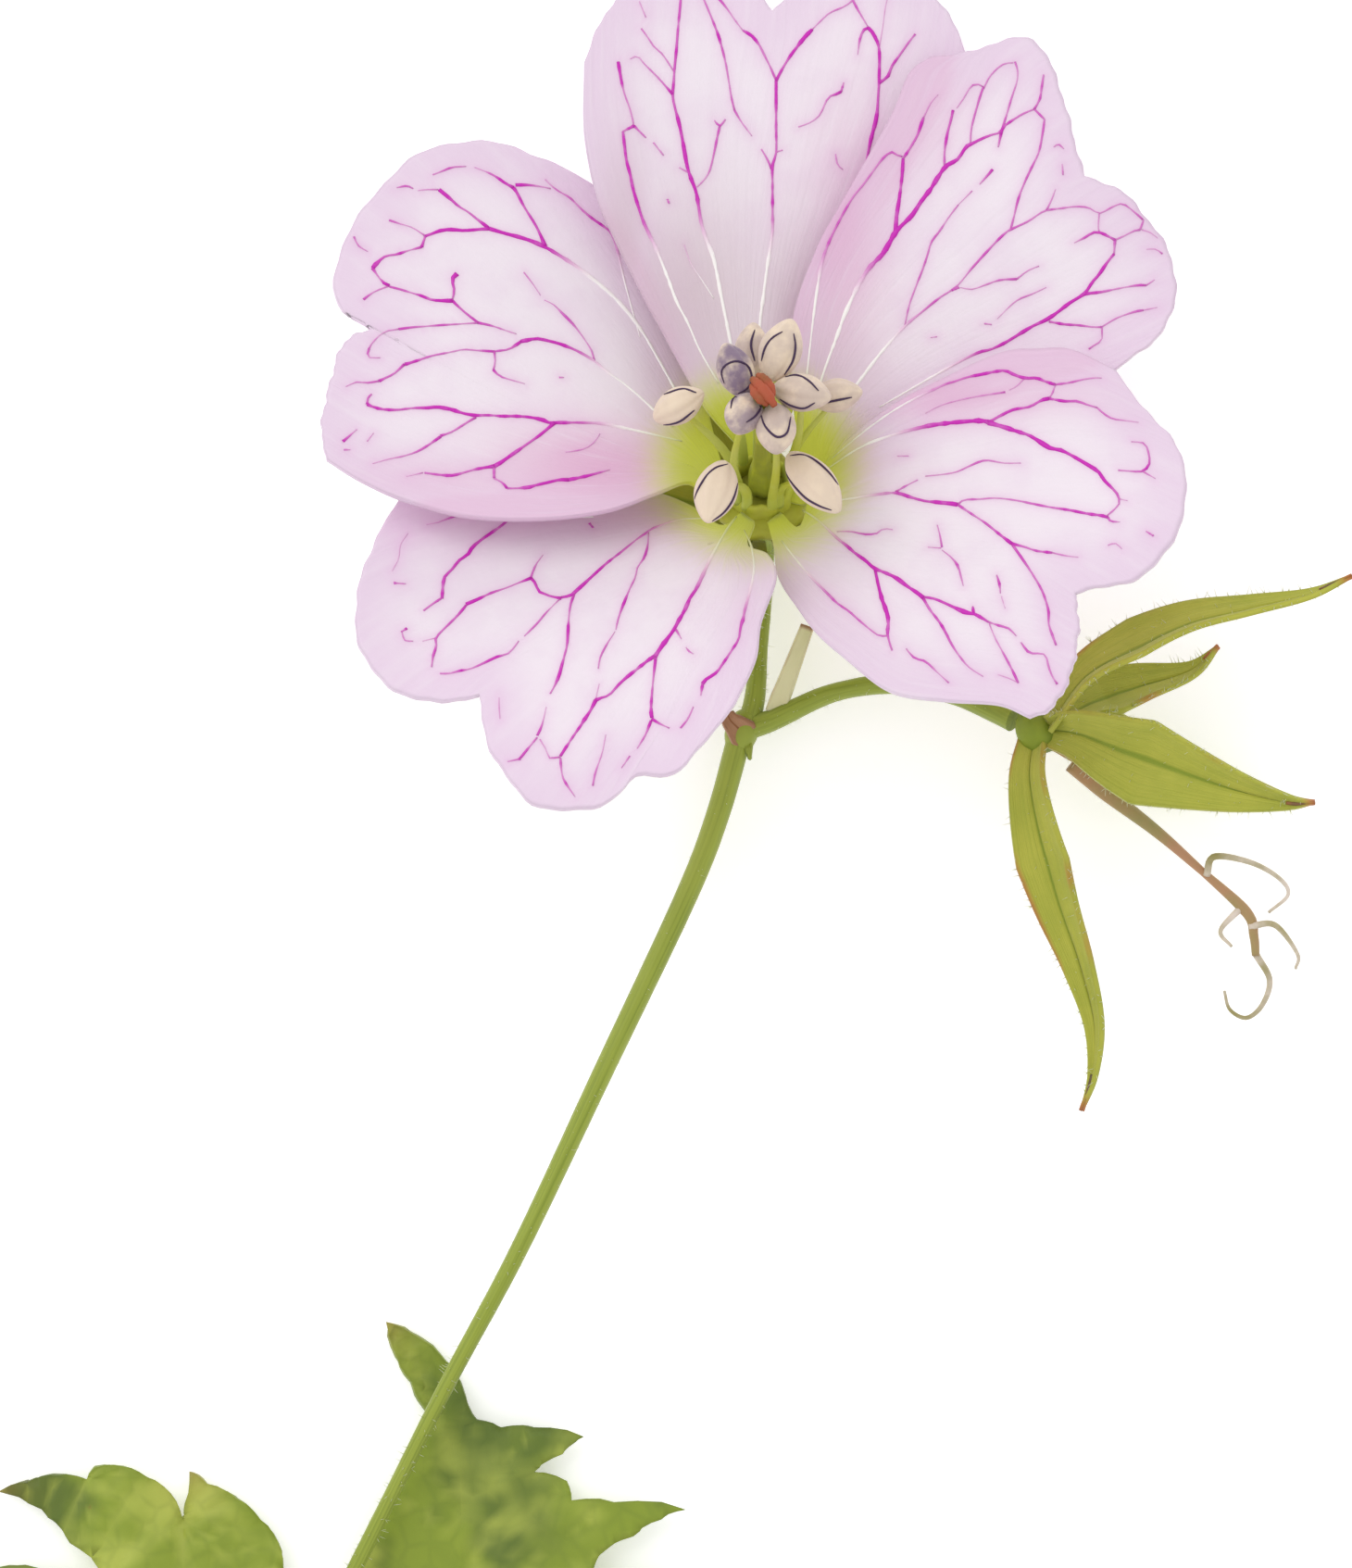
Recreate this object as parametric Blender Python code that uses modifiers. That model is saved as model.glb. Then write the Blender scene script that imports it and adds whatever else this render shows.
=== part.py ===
"""A cut stem of a hardy geranium, lying on a table: one open bloom, one spent bloom and a pair of leaves.

Run it with blender --background --python part.py, or from Blender's text editor.
Lengths below are millimetres until the last step, which makes metres of them. +X is right, +Y is up
in the photograph, and +Z is up from the table. Places are read as photo pixels with a height over
the table, and on_table turns them into real ones.
"""

import math

import bmesh
import bpy
from mathutils import Vector

METRES = 0.001
PIXEL = 0.0375  # what one photo pixel spans on the table; the open bloom is 35 mm across with it
EYE_HEIGHT = 529.0  # of the camera over the table
EYE_PIXEL = (730.0, 846.5)  # the middle of the photograph, straight below the camera
MIDDLE = (-2.19, -7.98)  # of the part's box, from the point below the camera

BLADE = 0.6  # thickness of petals, sepals and leaves
GAP = 0.3  # between pieces that touch on the plant

# The open bloom stands on a tilted axis, and its petals make a wide funnel round that axis.
BLOOM_PIXEL = (822.0, 540.0)
BLOOM_HEIGHT = 4.1
BLOOM_TILT = math.radians(26)
LIMB_SLOPE = 0.27
FUNNEL_DEPTH = 1.6
FUNNEL_RADIUS = 2.2
TIP_DROOP = 0.8
PETAL_LENGTH = 19.0
PETAL_TWIST = 0.95  # each petal's left margin lies this far over the funnel, 36 degrees from its middle
TWIST_START = 0.8
TWIST_FULL = 4.0
PETAL_WAVE = 0.16
SEPAL_BELOW = 2.6
RECEPTACLE_RADIUS = 2.2
RECEPTACLE_TOP = 0.72
RECEPTACLE_FOOT = -1.5

PETIOLE_RADIUS = 0.45
FILAMENT_RADIUS = 0.3
ANTHER_SIZE = (2.3, 1.35, 1.0)
STYLE_LENGTH = 9.6

PETAL_COLUMNS = 14
PETAL_ROWS = 12
LEAF_CELL = 66  # photo pixels
LEAF_RISE = 1.5
LEAF_LOW = 0.27
LEAF_FOLD = 0.35
RIB_STEPS = 16

# Each petal's outline in photo pixels, from its claw: left edge, left lobe to the notch, right lobe
# from the notch, right edge back to the claw. turn is its direction from the bloom's middle.
PETALS = {
    "petal_top": {
        "turn": 88,
        "left": [(804, 491), (765, 445), (735, 394), (712, 352), (696, 323), (664, 259), (645, 214),
                 (631, 144), (631, 67)],
        "left_lobe": [(631, 67), (653, 16), (690, -20), (745, -38), (800, -24), (834, 13)],
        "right_lobe": [(834, 13), (870, -24), (925, -38), (980, -25), (1026, 19), (1042, 57)],
        "right": [(1042, 57), (1035, 110), (1000, 180), (955, 250), (915, 310), (880, 370), (860, 430),
                  (840, 491)],
    },
    "petal_upper_right": {
        "turn": 42,
        "left": [(863, 508), (856, 430), (856, 345), (882, 268), (908, 220), (962, 125), (981, 80),
                 (1005, 62), (1043, 58)],
        "left_lobe": [(1043, 58), (1081, 45), (1118, 45), (1141, 85), (1155, 131), (1171, 191)],
        "right_lobe": [
            (1171, 191), (1208, 205), (1241, 239), (1266, 282), (1268, 328), (1251, 362), (1205, 399),
        ],
        "right": [(1205, 399), (1150, 425), (1080, 440), (1000, 450), (930, 470), (895, 500), (874, 542)],
    },
    "petal_lower_right": {
        "turn": -42,
        "left": [
            (865, 569), (880, 520), (910, 480), (960, 440), (1020, 408), (1081, 381), (1121, 377),
            (1158, 378), (1205, 400),
        ],
        "left_lobe": [
            (1205, 400), (1241, 449), (1271, 480), (1281, 541), (1260, 594), (1226, 625), (1161, 640),
        ],
        "right_lobe": [(1161, 640), (1165, 677), (1157, 726), (1137, 763), (1112, 775), (1078, 761)],
        "right": [(1078, 761), (1020, 757), (961, 747), (909, 708), (881, 683), (860, 655), (841, 625),
                  (836, 590)],
    },
    "petal_lower_left": {
        "turn": -122,
        "left": [
            (808, 590), (830, 600), (838, 624), (822, 671), (816, 712), (794, 759), (763, 799),
            (734, 829), (719, 838),
        ],
        "left_lobe": [
            (719, 838), (687, 839), (657, 865), (624, 875), (571, 865), (534, 818), (521, 780),
            (517, 752),
        ],
        "right_lobe": [(517, 752), (461, 757), (415, 737), (389, 699), (384, 652), (401, 592), (431, 540)],
        "right": [(431, 540), (470, 525), (540, 520), (620, 525), (700, 532), (745, 547), (779, 569)],
    },
    "petal_left": {
        "turn": 159,
        "left": [
            (770, 542), (745, 522), (710, 533), (657, 552), (587, 561), (507, 559), (440, 542),
            (390, 520),
        ],
        "left_lobe": [(390, 520), (353, 497), (347, 460), (358, 407), (372, 370), (400, 357)],
        "right_lobe": [
            (400, 357), (365, 327), (365, 277), (403, 212), (453, 167), (517, 153), (587, 172),
            (638, 199),
        ],
        "right": [(638, 199), (680, 240), (715, 300), (740, 360), (760, 430), (781, 508)],
    },
}

# Directions of the open bloom's sepals, which alternate with its petals, and their length.
SEPAL_TURNS = (30, 102, 176, 250, 320)
SEPAL_LENGTH = 8.6
SEPAL_WIDTH = 3.4

# Stamens: photo pixels of each anther's middle and tip, and how far along the bloom's axis it stands.
OUTER_ANTHERS = [
    ((733, 439), (757, 425)),
    ((773, 531), (764, 563)),
    ((878, 524), (905, 552)),
    ((908, 427), (941, 424)),
    ((817, 366), (818, 332)),
]
INNER_ANTHERS = [
    ((786, 397), (772, 372)),
    ((842, 375), (855, 345)),
    ((872, 424), (902, 430)),
    ((840, 472), (842, 502)),
    ((790, 452), (776, 478)),
]
OUTER_ALONG = 6.8
INNER_ALONG = 8.7

# Stem and pedicels: photo pixels, height over the table and radius.
STEM_PATH = [
    (800, 790, 1.5, 0.5),
    (775, 880, 1.7, 0.41),
    (740, 970, 1.9, 0.37),
    (650, 1160, 2.3, 0.34),
    (560, 1350, 2.5, 0.31),
    (480, 1500, 2.5, 0.3),
    (385, 1690, 2.3, 0.34),
    (313, 1838, 1.9, 0.4),
    (262, 1950, 1.1, 0.4),
    (222, 2046, 0.5, 0.4),
]
BLOOM_PEDICEL = [
    (803, 792, 1.5, 0.48),
    (814, 760, 1.35, 0.4),
    (819, 710, 1.05, 0.36),
    (822, 655, 0.85, 0.35),
    (823, 610, 0.95, 0.38),
    (823, 584, 1.4, 0.45),
    (822, 567, 2.2, 0.55),
]
SPENT_PEDICEL = [
    (803, 788, 1.5, 0.48),
    (835, 777, 1.7, 0.42),
    (900, 748, 2.3, 0.4),
    (970, 738, 3.2, 0.38),
    (1030, 748, 4.2, 0.38),
    (1072, 765, 5.1, 0.44),
    (1095, 776, 5.6, 0.55),
]
STEM_NODE = (313, 1838, 1.9)
BRACTS = [
    {
        "spine": [(836, 770, 1.9), (848, 740, 2.2), (860, 708, 2.5), (872, 676, 2.7)],
        "widths": [0.7, 0.75, 0.7, 0.5],
    },
    {
        "spine": [(806, 795, 2.0), (796, 785, 2.25), (789, 778, 2.35), (785, 770, 2.3)],
        "widths": [1.1, 1.2, 0.9, 0.5],
    },
    {
        "spine": [(806, 800, 1.4), (812, 815, 1.9), (815, 830, 2.0), (817, 842, 1.9)],
        "widths": [0.8, 0.8, 0.7, 0.5],
    },
]
STIPULES = [
    {"spine": [(318, 1835, 2.4), (335, 1812, 2.9), (348, 1792, 3.0)], "widths": [1.0, 0.9, 0.5]},
    {"spine": [(306, 1842, 2.5), (285, 1822, 3.0), (272, 1804, 3.1)], "widths": [1.0, 0.9, 0.5]},
]

# The spent bloom: photo pixels and height of each sepal's middle line, its widths, and its roll.
SPENT_PIXEL = (1122, 788, 6.2)
SPENT_RECEPTACLE = 2.3  # across
SPENT_SEPALS = [
    {
        "spine": [(1128, 783, 6.9), (1165, 726, 7.6), (1215, 693, 7.9), (1280, 665, 8.0), (1350, 652, 8.0),
                  (1415, 640, 8.0), (1460, 621, 8.1)],
        "widths": [1.2, 2.2, 2.7, 2.6, 2.0, 1.0, 0.5],
        "roll": 58,
    },
    {
        "spine": [(1130, 783, 6.1), (1180, 750, 5.3), (1230, 735, 4.5), (1285, 722, 3.7), (1315, 697, 3.2)],
        "widths": [1.2, 2.6, 2.6, 1.5, 0.5],
        "roll": 40,
    },
    {
        "spine": [(1128, 789, 6.9), (1165, 796, 8.0), (1215, 817, 8.8), (1275, 838, 9.1), (1335, 856, 9.0),
                  (1390, 867, 8.7), (1420, 867, 8.5)],
        "widths": [1.3, 2.9, 3.5, 3.1, 2.1, 1.1, 0.5],
        "roll": -18,
    },
    {
        "spine": [(1114, 796, 6.6), (1108, 840, 6.9), (1118, 905, 6.8), (1138, 975, 6.5), (1162, 1040, 6.2),
                  (1180, 1105, 5.9), (1179, 1160, 5.6), (1167, 1199, 5.3)],
        "widths": [1.2, 1.9, 2.3, 2.2, 1.8, 1.1, 0.6, 0.5],
        "roll": -30,
    },
    {
        "spine": [(1120, 789, 5.2), (1150, 790, 3.9), (1200, 805, 2.7), (1262, 828, 1.7), (1330, 846, 1.0),
                  (1372, 858, 0.7)],
        "widths": [1.2, 2.3, 2.8, 2.3, 1.2, 0.5],
        "roll": 12,
    },
]
SPENT_STYLE = [
    (1158, 824, 5.9, 0.7),
    (1176, 840, 5.8, 0.62),
    (1197, 858, 5.6, 0.4),
    (1248, 897, 5.5, 0.32),
    (1295, 938, 5.4, 0.3),
    (1346, 985, 5.3, 0.3),
    (1354, 1011, 5.2, 0.32),
    (1356, 1032, 5.2, 0.3),
]
SPENT_CURLS = [
    [
        (1303, 945, 5.5), (1311, 925, 5.9), (1350, 931, 6.4), (1381, 948, 6.5), (1391, 966, 6.2),
        (1370, 985, 5.8),
    ],
    [(1350, 1000, 5.3), (1377, 999, 5.8), (1401, 1030, 6.1), (1399, 1046, 5.9)],
    [(1356, 1030, 5.1), (1371, 1058, 4.6), (1363, 1085, 4.3), (1346, 1099, 4.2), (1328, 1090, 4.3),
     (1322, 1070, 4.5)],
    [(1340, 980, 5.3), (1318, 1005, 5.9), (1330, 1022, 6.2)],
]
CURL_RADIUS = 0.3

# Leaves: each lobe's toothed edge in photo pixels, from the notch before it to its tip, then on to
# the next notch.
LEAVES = {
    "leaf_right": {
        "base": (560, 1880),
        "bent_ribs": {1: [(520, 1720), (488, 1570), (452, 1480)]},
        "petiole": [
            (352, 1846, 2.15), (405, 1856, 2.3), (490, 1872, 2.1), (560, 1880, 1.75), (590, 1870, 1.6),
        ],
        "lobes": [
            (
                [(520, 1862), (450, 1832), (405, 1800), (372, 1752)],
                [(372, 1752), (382, 1705), (400, 1665)],
            ),
            (
                [(400, 1665), (425, 1615), (450, 1570), (464, 1528), (444, 1492), (429, 1467), (418, 1428)],
                [(418, 1428), (444, 1439), (477, 1464), (503, 1508), (515, 1533), (541, 1541), (576, 1541),
                 (630, 1551), (607, 1569), (576, 1589), (612, 1599), (617, 1620), (663, 1622), (740, 1630),
                 (714, 1640), (684, 1658), (648, 1678), (640, 1700)],
            ),
            (
                [(640, 1700), (690, 1712), (735, 1704), (720, 1728), (790, 1730), (850, 1718), (832, 1752),
                 (880, 1762), (945, 1790)],
                [(945, 1790), (890, 1812), (850, 1830), (880, 1858), (820, 1858), (765, 1850), (735, 1870)],
            ),
            (
                [(735, 1870), (800, 1900), (835, 1935), (815, 1955), (840, 2010), (830, 2090)],
                [(830, 2090), (785, 2055), (750, 2035), (735, 2065), (705, 2020), (680, 1985), (655, 1975)],
            ),
            (
                [(655, 1975), (672, 2030), (690, 2085), (660, 2080), (640, 2120), (600, 2160)],
                [(600, 2160), (585, 2110), (560, 2080), (535, 2095), (530, 2040), (528, 1980), (528, 1900)],
            ),
        ],
    },
    "leaf_left": {
        "base": (175, 1830),
        "bent_ribs": {},
        "petiole": [
            (275, 1846, 2.15), (256, 1844, 2.3), (225, 1836, 2.1), (175, 1830, 1.75), (155, 1815, 1.6),
        ],
        "lobes": [
            (
                [(205, 1815), (250, 1790), (290, 1750), (306, 1691), (301, 1666), (281, 1640), (255, 1617),
                 (224, 1602), (207, 1589)],
                [(207, 1589), (201, 1622), (196, 1640)],
            ),
            (
                [(196, 1640), (184, 1612), (158, 1594), (133, 1583), (102, 1584), (94, 1597), (61, 1592),
                 (31, 1599), (0, 1610)],
                [(0, 1610), (31, 1622), (51, 1635), (76, 1666), (107, 1692), (112, 1712)],
            ),
            (
                [(112, 1712), (60, 1700), (10, 1690), (-20, 1700), (-60, 1722), (-100, 1760)],
                [(-100, 1760), (-55, 1775), (-40, 1800), (0, 1795), (30, 1800), (62, 1805)],
            ),
            (
                [(62, 1805), (10, 1820), (-45, 1835), (-60, 1865), (-110, 1910)],
                [(-110, 1910), (-60, 1912), (-30, 1935), (0, 1905), (40, 1895), (75, 1890)],
            ),
            (
                [(75, 1890), (40, 1930), (-5, 1965), (0, 2005), (20, 2060)],
                [(20, 2060), (50, 2030), (80, 2035), (95, 1990), (120, 1950), (140, 1930)],
            ),
            (
                [(140, 1930), (135, 1985), (140, 2030), (165, 2075)],
                [(165, 2075), (180, 2030), (205, 1990), (205, 1930), (200, 1850)],
            ),
        ],
    },
}

COLOURS = {
    "petal": ((0.80, 0.62, 0.76, 1), 0.55),
    "stem": ((0.26, 0.32, 0.06, 1), 0.5),
    "leaf": ((0.30, 0.40, 0.08, 1), 0.6),
    "calyx": ((0.40, 0.44, 0.10, 1), 0.55),
    "stamen": ((0.78, 0.66, 0.50, 1), 0.6),
    "pistil": ((0.45, 0.20, 0.06, 1), 0.5),
}


def clear_scene():
    for item in list(bpy.data.objects):
        bpy.data.objects.remove(item)


def make_collections():
    part = bpy.data.collections.new("hardy_geranium")
    helpers = bpy.data.collections.new("joined_pieces")
    for collection in (part, helpers):
        bpy.context.scene.collection.children.link(collection)
    return part, helpers


def make_material(name):
    colour, roughness = COLOURS[name]
    material = bpy.data.materials.new(name)
    material.use_nodes = True
    shader = material.node_tree.nodes["Principled BSDF"]
    shader.inputs["Base Color"].default_value = colour
    shader.inputs["Roughness"].default_value = roughness
    shader.inputs["Metallic"].default_value = 0.0
    return material


def on_table(px, py, height):
    """The real place of a photo pixel that is seen at this height over the table."""
    span = PIXEL * (1 - height / EYE_HEIGHT)
    x = (px - EYE_PIXEL[0]) * span - MIDDLE[0]
    y = (EYE_PIXEL[1] - py) * span - MIDDLE[1]
    return Vector((x, y, height))


def ramp(value, start, end):
    share = min(max((value - start) / (end - start), 0.0), 1.0)
    return share * share * (3 - 2 * share)


def smooth(points, count):
    """A curve through the points, as count + 1 points evenly spaced along it."""
    ends = [points[0] * 2 - points[1], *points, points[-1] * 2 - points[-2]]
    dense = []
    for i in range(1, len(ends) - 2):
        a, b, c, d = ends[i - 1 : i + 3]
        for step in range(12):
            t = step / 12
            dense.append(
                0.5
                * (
                    2 * b
                    + (c - a) * t
                    + (2 * a - 5 * b + 4 * c - d) * t * t
                    + (3 * b - a - 3 * c + d) * t**3
                )
            )
    dense.append(points[-1].copy())
    lengths = [0.0]
    for a, b in zip(dense, dense[1:]):
        lengths.append(lengths[-1] + (b - a).length)
    even = []
    i = 0
    for step in range(count + 1):
        want = lengths[-1] * step / count
        while i < len(lengths) - 2 and lengths[i + 1] < want:
            i += 1
        share = (want - lengths[i]) / max(lengths[i + 1] - lengths[i], 1e-9)
        even.append(dense[i].lerp(dense[i + 1], min(share, 1.0)))
    return even


# The open bloom's axis and the two directions square to it.
AXIS = Vector((0, math.sin(BLOOM_TILT), math.cos(BLOOM_TILT)))
ACROSS = Vector((1, 0, 0))
UPWARD = Vector((0, math.cos(BLOOM_TILT), -math.sin(BLOOM_TILT)))
BLOOM_FOOT = on_table(*BLOOM_PIXEL, BLOOM_HEIGHT)


def in_bloom(radius, turn, along):
    """A point at this distance from the bloom's axis, turned from +X, and this far along the axis."""
    side = ACROSS * math.cos(turn) + UPWARD * math.sin(turn)
    return BLOOM_FOOT + side * radius + AXIS * along


def funnel(radius):
    """How far along the axis the petals' funnel has risen at this distance from it."""
    rise = LIMB_SLOPE * radius + FUNNEL_DEPTH * (1 - math.exp(-radius / FUNNEL_RADIUS))
    return rise - TIP_DROOP * (radius / PETAL_LENGTH) ** 4


def petal_point(px, py, turn):
    """The point of the petal turned this way that is seen at a photo pixel."""
    height = BLOOM_HEIGHT
    for _ in range(24):
        point = on_table(px, py, height)
        out = point - BLOOM_FOOT
        side = out.dot(UPWARD)
        radius = math.hypot(out.x, side)
        off = math.remainder(math.atan2(side, out.x) - turn, 2 * math.pi)
        lift = PETAL_TWIST * off / math.radians(36) * ramp(radius, TWIST_START, TWIST_FULL)
        lift += PETAL_WAVE * math.sin(9 * off + 2 * turn) * ramp(radius, 5, PETAL_LENGTH)
        along = funnel(radius) + lift
        height = BLOOM_HEIGHT + (along - out.y * AXIS.y) / AXIS.z
    return point


def along_axis_point(px, py, along):
    """The point seen at a photo pixel that lies this far along the bloom's axis."""
    height = BLOOM_HEIGHT
    for _ in range(12):
        out = on_table(px, py, height) - BLOOM_FOOT
        height = BLOOM_HEIGHT + (along - out.y * AXIS.y) / AXIS.z
    return on_table(px, py, height)


def finish_mesh(bm, name):
    for vertex in bm.verts:
        vertex.co *= METRES
    mesh = bpy.data.meshes.new(name)
    bm.to_mesh(mesh)
    bm.free()
    return mesh


def add_object(mesh, collection, material):
    made = bpy.data.objects.new(mesh.name, mesh)
    mesh.materials.clear()
    mesh.materials.append(material)
    collection.objects.link(made)
    return made


def evaluated_mesh(source, name):
    bpy.context.view_layer.update()
    graph = bpy.context.evaluated_depsgraph_get()
    mesh = bpy.data.meshes.new_from_object(source.evaluated_get(graph))
    mesh.name = name
    return mesh


def thicken(source, name, thickness, floor=None):
    """The open sheet as a closed blade. Below the floor it is pressed flat, so that it rests there."""
    solid = source.modifiers.new("thickness", "SOLIDIFY")
    solid.thickness = thickness * METRES
    solid.offset = 0
    solid.use_rim = True
    mesh = evaluated_mesh(source, name)
    bpy.data.objects.remove(source)
    if floor is not None:
        for vertex in mesh.vertices:
            vertex.co.z = max(vertex.co.z, floor)
    return mesh


def sheet(name, patches, material, collection):
    """An open sheet of patches, each a grid whose points are moved by place(u, v), both 0 to 1."""
    bm = bmesh.new()
    for columns, rows, place in patches:
        grid = bmesh.ops.create_grid(bm, x_segments=columns, y_segments=rows, size=0.5)
        for vertex in grid["verts"]:
            vertex.co = place(vertex.co.x + 0.5, vertex.co.y + 0.5)
    bmesh.ops.remove_doubles(bm, verts=bm.verts, dist=0.001)
    bmesh.ops.triangulate(bm, faces=bm.faces)
    bmesh.ops.recalc_face_normals(bm, faces=bm.faces)
    return add_object(finish_mesh(bm, name), collection, material)


def petal_place(outline):
    """A patch between the petal's four edges: both sides, the claw and the notched rim."""
    turn = math.radians(outline["turn"])
    edges = ("left", "left_lobe", "right_lobe", "right")
    pixels = {key: [Vector(p) for p in outline[key]] for key in edges}
    left = smooth(pixels["left"], PETAL_ROWS)
    right = smooth(pixels["right"], PETAL_ROWS)[::-1]
    half = PETAL_COLUMNS // 2
    rim = smooth(pixels["left_lobe"], half) + smooth(pixels["right_lobe"], half)[1:]
    claw = [left[0].lerp(right[0], i / PETAL_COLUMNS) for i in range(PETAL_COLUMNS + 1)]

    def place(u, v):
        i = round(u * PETAL_COLUMNS)
        j = round(v * PETAL_ROWS)
        sides = left[j].lerp(right[j], u)
        ends = claw[i].lerp(rim[i], v)
        corners = left[0].lerp(right[0], u).lerp(left[-1].lerp(right[-1], u), v)
        pixel = sides + ends - corners
        return petal_point(pixel.x, pixel.y, turn)

    return place


def make_petals(part, material):
    for name, outline in PETALS.items():
        patches = [(PETAL_COLUMNS, PETAL_ROWS, petal_place(outline))]
        flat = sheet(name + "_sheet", patches, material, part)
        add_object(thicken(flat, name, BLADE, floor=0.0), part, material)


def blade(name, spine, widths, roll, cup, material, collection, columns=4, rows=10):
    """A sepal or bract along a middle line, with its own widths, rolled about that line and cupped."""
    middle = smooth([Vector(p) for p in spine], rows)
    sizes = smooth([Vector((w, 0, 0)) for w in widths], 40)
    tilt = math.radians(roll)

    def place(u, v):
        j = round(v * rows)
        ahead = middle[min(j + 1, rows)] - middle[max(j - 1, 0)]
        across = Vector((ahead.y, -ahead.x, 0)).normalized()
        up = across.cross(ahead).normalized() * -1
        if up.z < 0:
            up.negate()
        reach = across * math.cos(tilt) + up * math.sin(tilt)
        bowl = up * math.cos(tilt) - across * math.sin(tilt)
        width = max(sizes[round(v * 40)].x, 0.3)
        side = 2 * u - 1
        return middle[j] + reach * (side * width / 2) - bowl * (cup * width * (1 - side * side))

    flat = sheet(name + "_sheet", [(columns, rows, place)], material, collection)
    return add_object(thicken(flat, name, BLADE), collection, material)


def tube(name, points, radii, sides, material, collection):
    """A round stem along the points, as a closed mesh."""
    line = bpy.data.curves.new(name, "CURVE")
    line.dimensions = "3D"
    line.bevel_depth = METRES
    line.bevel_resolution = (sides - 4) // 2
    line.use_fill_caps = True
    spline = line.splines.new("POLY")
    spline.points.add(len(points) - 1)
    for target, point, radius in zip(spline.points, points, radii):
        target.co = (*(point * METRES), 1)
        target.radius = radius
    guide = bpy.data.objects.new(name + "_line", line)
    collection.objects.link(guide)
    mesh = evaluated_mesh(guide, name)
    bpy.data.objects.remove(guide)
    bm = bmesh.new()
    bm.from_mesh(mesh)
    bmesh.ops.remove_doubles(bm, verts=bm.verts, dist=0.000001)
    bmesh.ops.recalc_face_normals(bm, faces=bm.faces)
    bm.to_mesh(mesh)
    bm.free()
    return add_object(mesh, collection, material)


def tube_on_path(name, path, count, sides, material, collection):
    """A round stem through photo places, each with its height and radius."""
    places = [on_table(px, py, height) for px, py, height, _ in path]
    both = smooth([p.to_4d() for p in places], count)
    radii = smooth([Vector((entry[3], 0, 0)) for entry in path], count)
    return tube(name, [p.to_3d() for p in both], [r.x for r in radii], sides, material, collection)


def ball(name, middle, size, ahead, material, collection, segments=10, rings=6):
    """An egg shape with its length along ahead."""
    bm = bmesh.new()
    bmesh.ops.create_uvsphere(bm, u_segments=segments, v_segments=rings, radius=0.5)
    turn = ahead.to_track_quat("Z", "Y")
    for vertex in bm.verts:
        stretched = Vector((vertex.co.x * size[1], vertex.co.y * size[2], vertex.co.z * size[0]))
        vertex.co = middle + turn @ stretched
    return add_object(finish_mesh(bm, name), collection, material)


def fuse(name, pieces, part, helpers, material, solver="EXACT"):
    """One closed body from pieces that run into each other."""
    first, others = pieces[0], pieces[1:]
    for other in others:
        helpers.objects.link(other)
        part.objects.unlink(other)
    join = first.modifiers.new("join", "BOOLEAN")
    join.operation = "UNION"
    join.operand_type = "COLLECTION"
    join.collection = helpers
    join.solver = solver
    mesh = evaluated_mesh(first, name)
    for piece in pieces:
        bpy.data.objects.remove(piece)
    return add_object(mesh, part, material)


def make_stem(part, helpers, material):
    pieces = [tube_on_path("stem_main", STEM_PATH, 30, 10, material, part)]
    pieces.append(tube_on_path("stem_bloom", BLOOM_PEDICEL, 14, 8, material, part))
    pieces.append(tube_on_path("stem_spent", SPENT_PEDICEL, 14, 8, material, part))
    fork = on_table(801, 790, 1.5)
    pieces.append(ball("stem_fork", fork, (1.9, 1.35, 1.35), Vector((0.3, 1, 0)), material, part))
    node = on_table(*STEM_NODE)
    pieces.append(ball("stem_node", node, (2.2, 1.6, 1.6), Vector((-0.4, -1, 0)), material, part))
    for i, leafy in enumerate(BRACTS + STIPULES):
        spine = [on_table(*p) for p in leafy["spine"]]
        pieces.append(blade(f"stem_bract_{i}", spine, leafy["widths"], 0, 0.1, material, part, 2, 5))
    fuse("stem", pieces, part, helpers, material)


def make_bloom_calyx(part, helpers, material):
    height = RECEPTACLE_TOP - RECEPTACLE_FOOT
    bm = bmesh.new()
    bmesh.ops.create_cone(
        bm, cap_ends=True, segments=20, radius1=1.0, radius2=RECEPTACLE_RADIUS, depth=height
    )
    turn = AXIS.to_track_quat("Z", "Y")
    middle = BLOOM_FOOT + AXIS * (RECEPTACLE_TOP + RECEPTACLE_FOOT) / 2
    for vertex in bm.verts:
        vertex.co = middle + turn @ vertex.co
    pieces = [add_object(finish_mesh(bm, "calyx_receptacle"), part, material)]
    for i, degrees in enumerate(SEPAL_TURNS):
        turn_angle = math.radians(degrees)

        def place(u, v, turn_angle=turn_angle):
            radius = 1.2 + v * SEPAL_LENGTH
            width = SEPAL_WIDTH * math.sin(math.pi * (0.06 + v * 0.9)) ** 0.9 + 0.3
            side = (2 * u - 1) * width / 2
            reach = math.hypot(radius, side)
            angle = turn_angle + math.atan2(side, radius)
            return in_bloom(reach, angle, funnel(reach) - SEPAL_BELOW)

        flat = sheet(f"sepal_{i}_sheet", [(4, 9, place)], material, part)
        pieces.append(add_object(thicken(flat, f"sepal_{i}", BLADE), part, material))
    fuse("bloom_calyx", pieces, part, helpers, material, solver="MANIFOLD")


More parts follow.
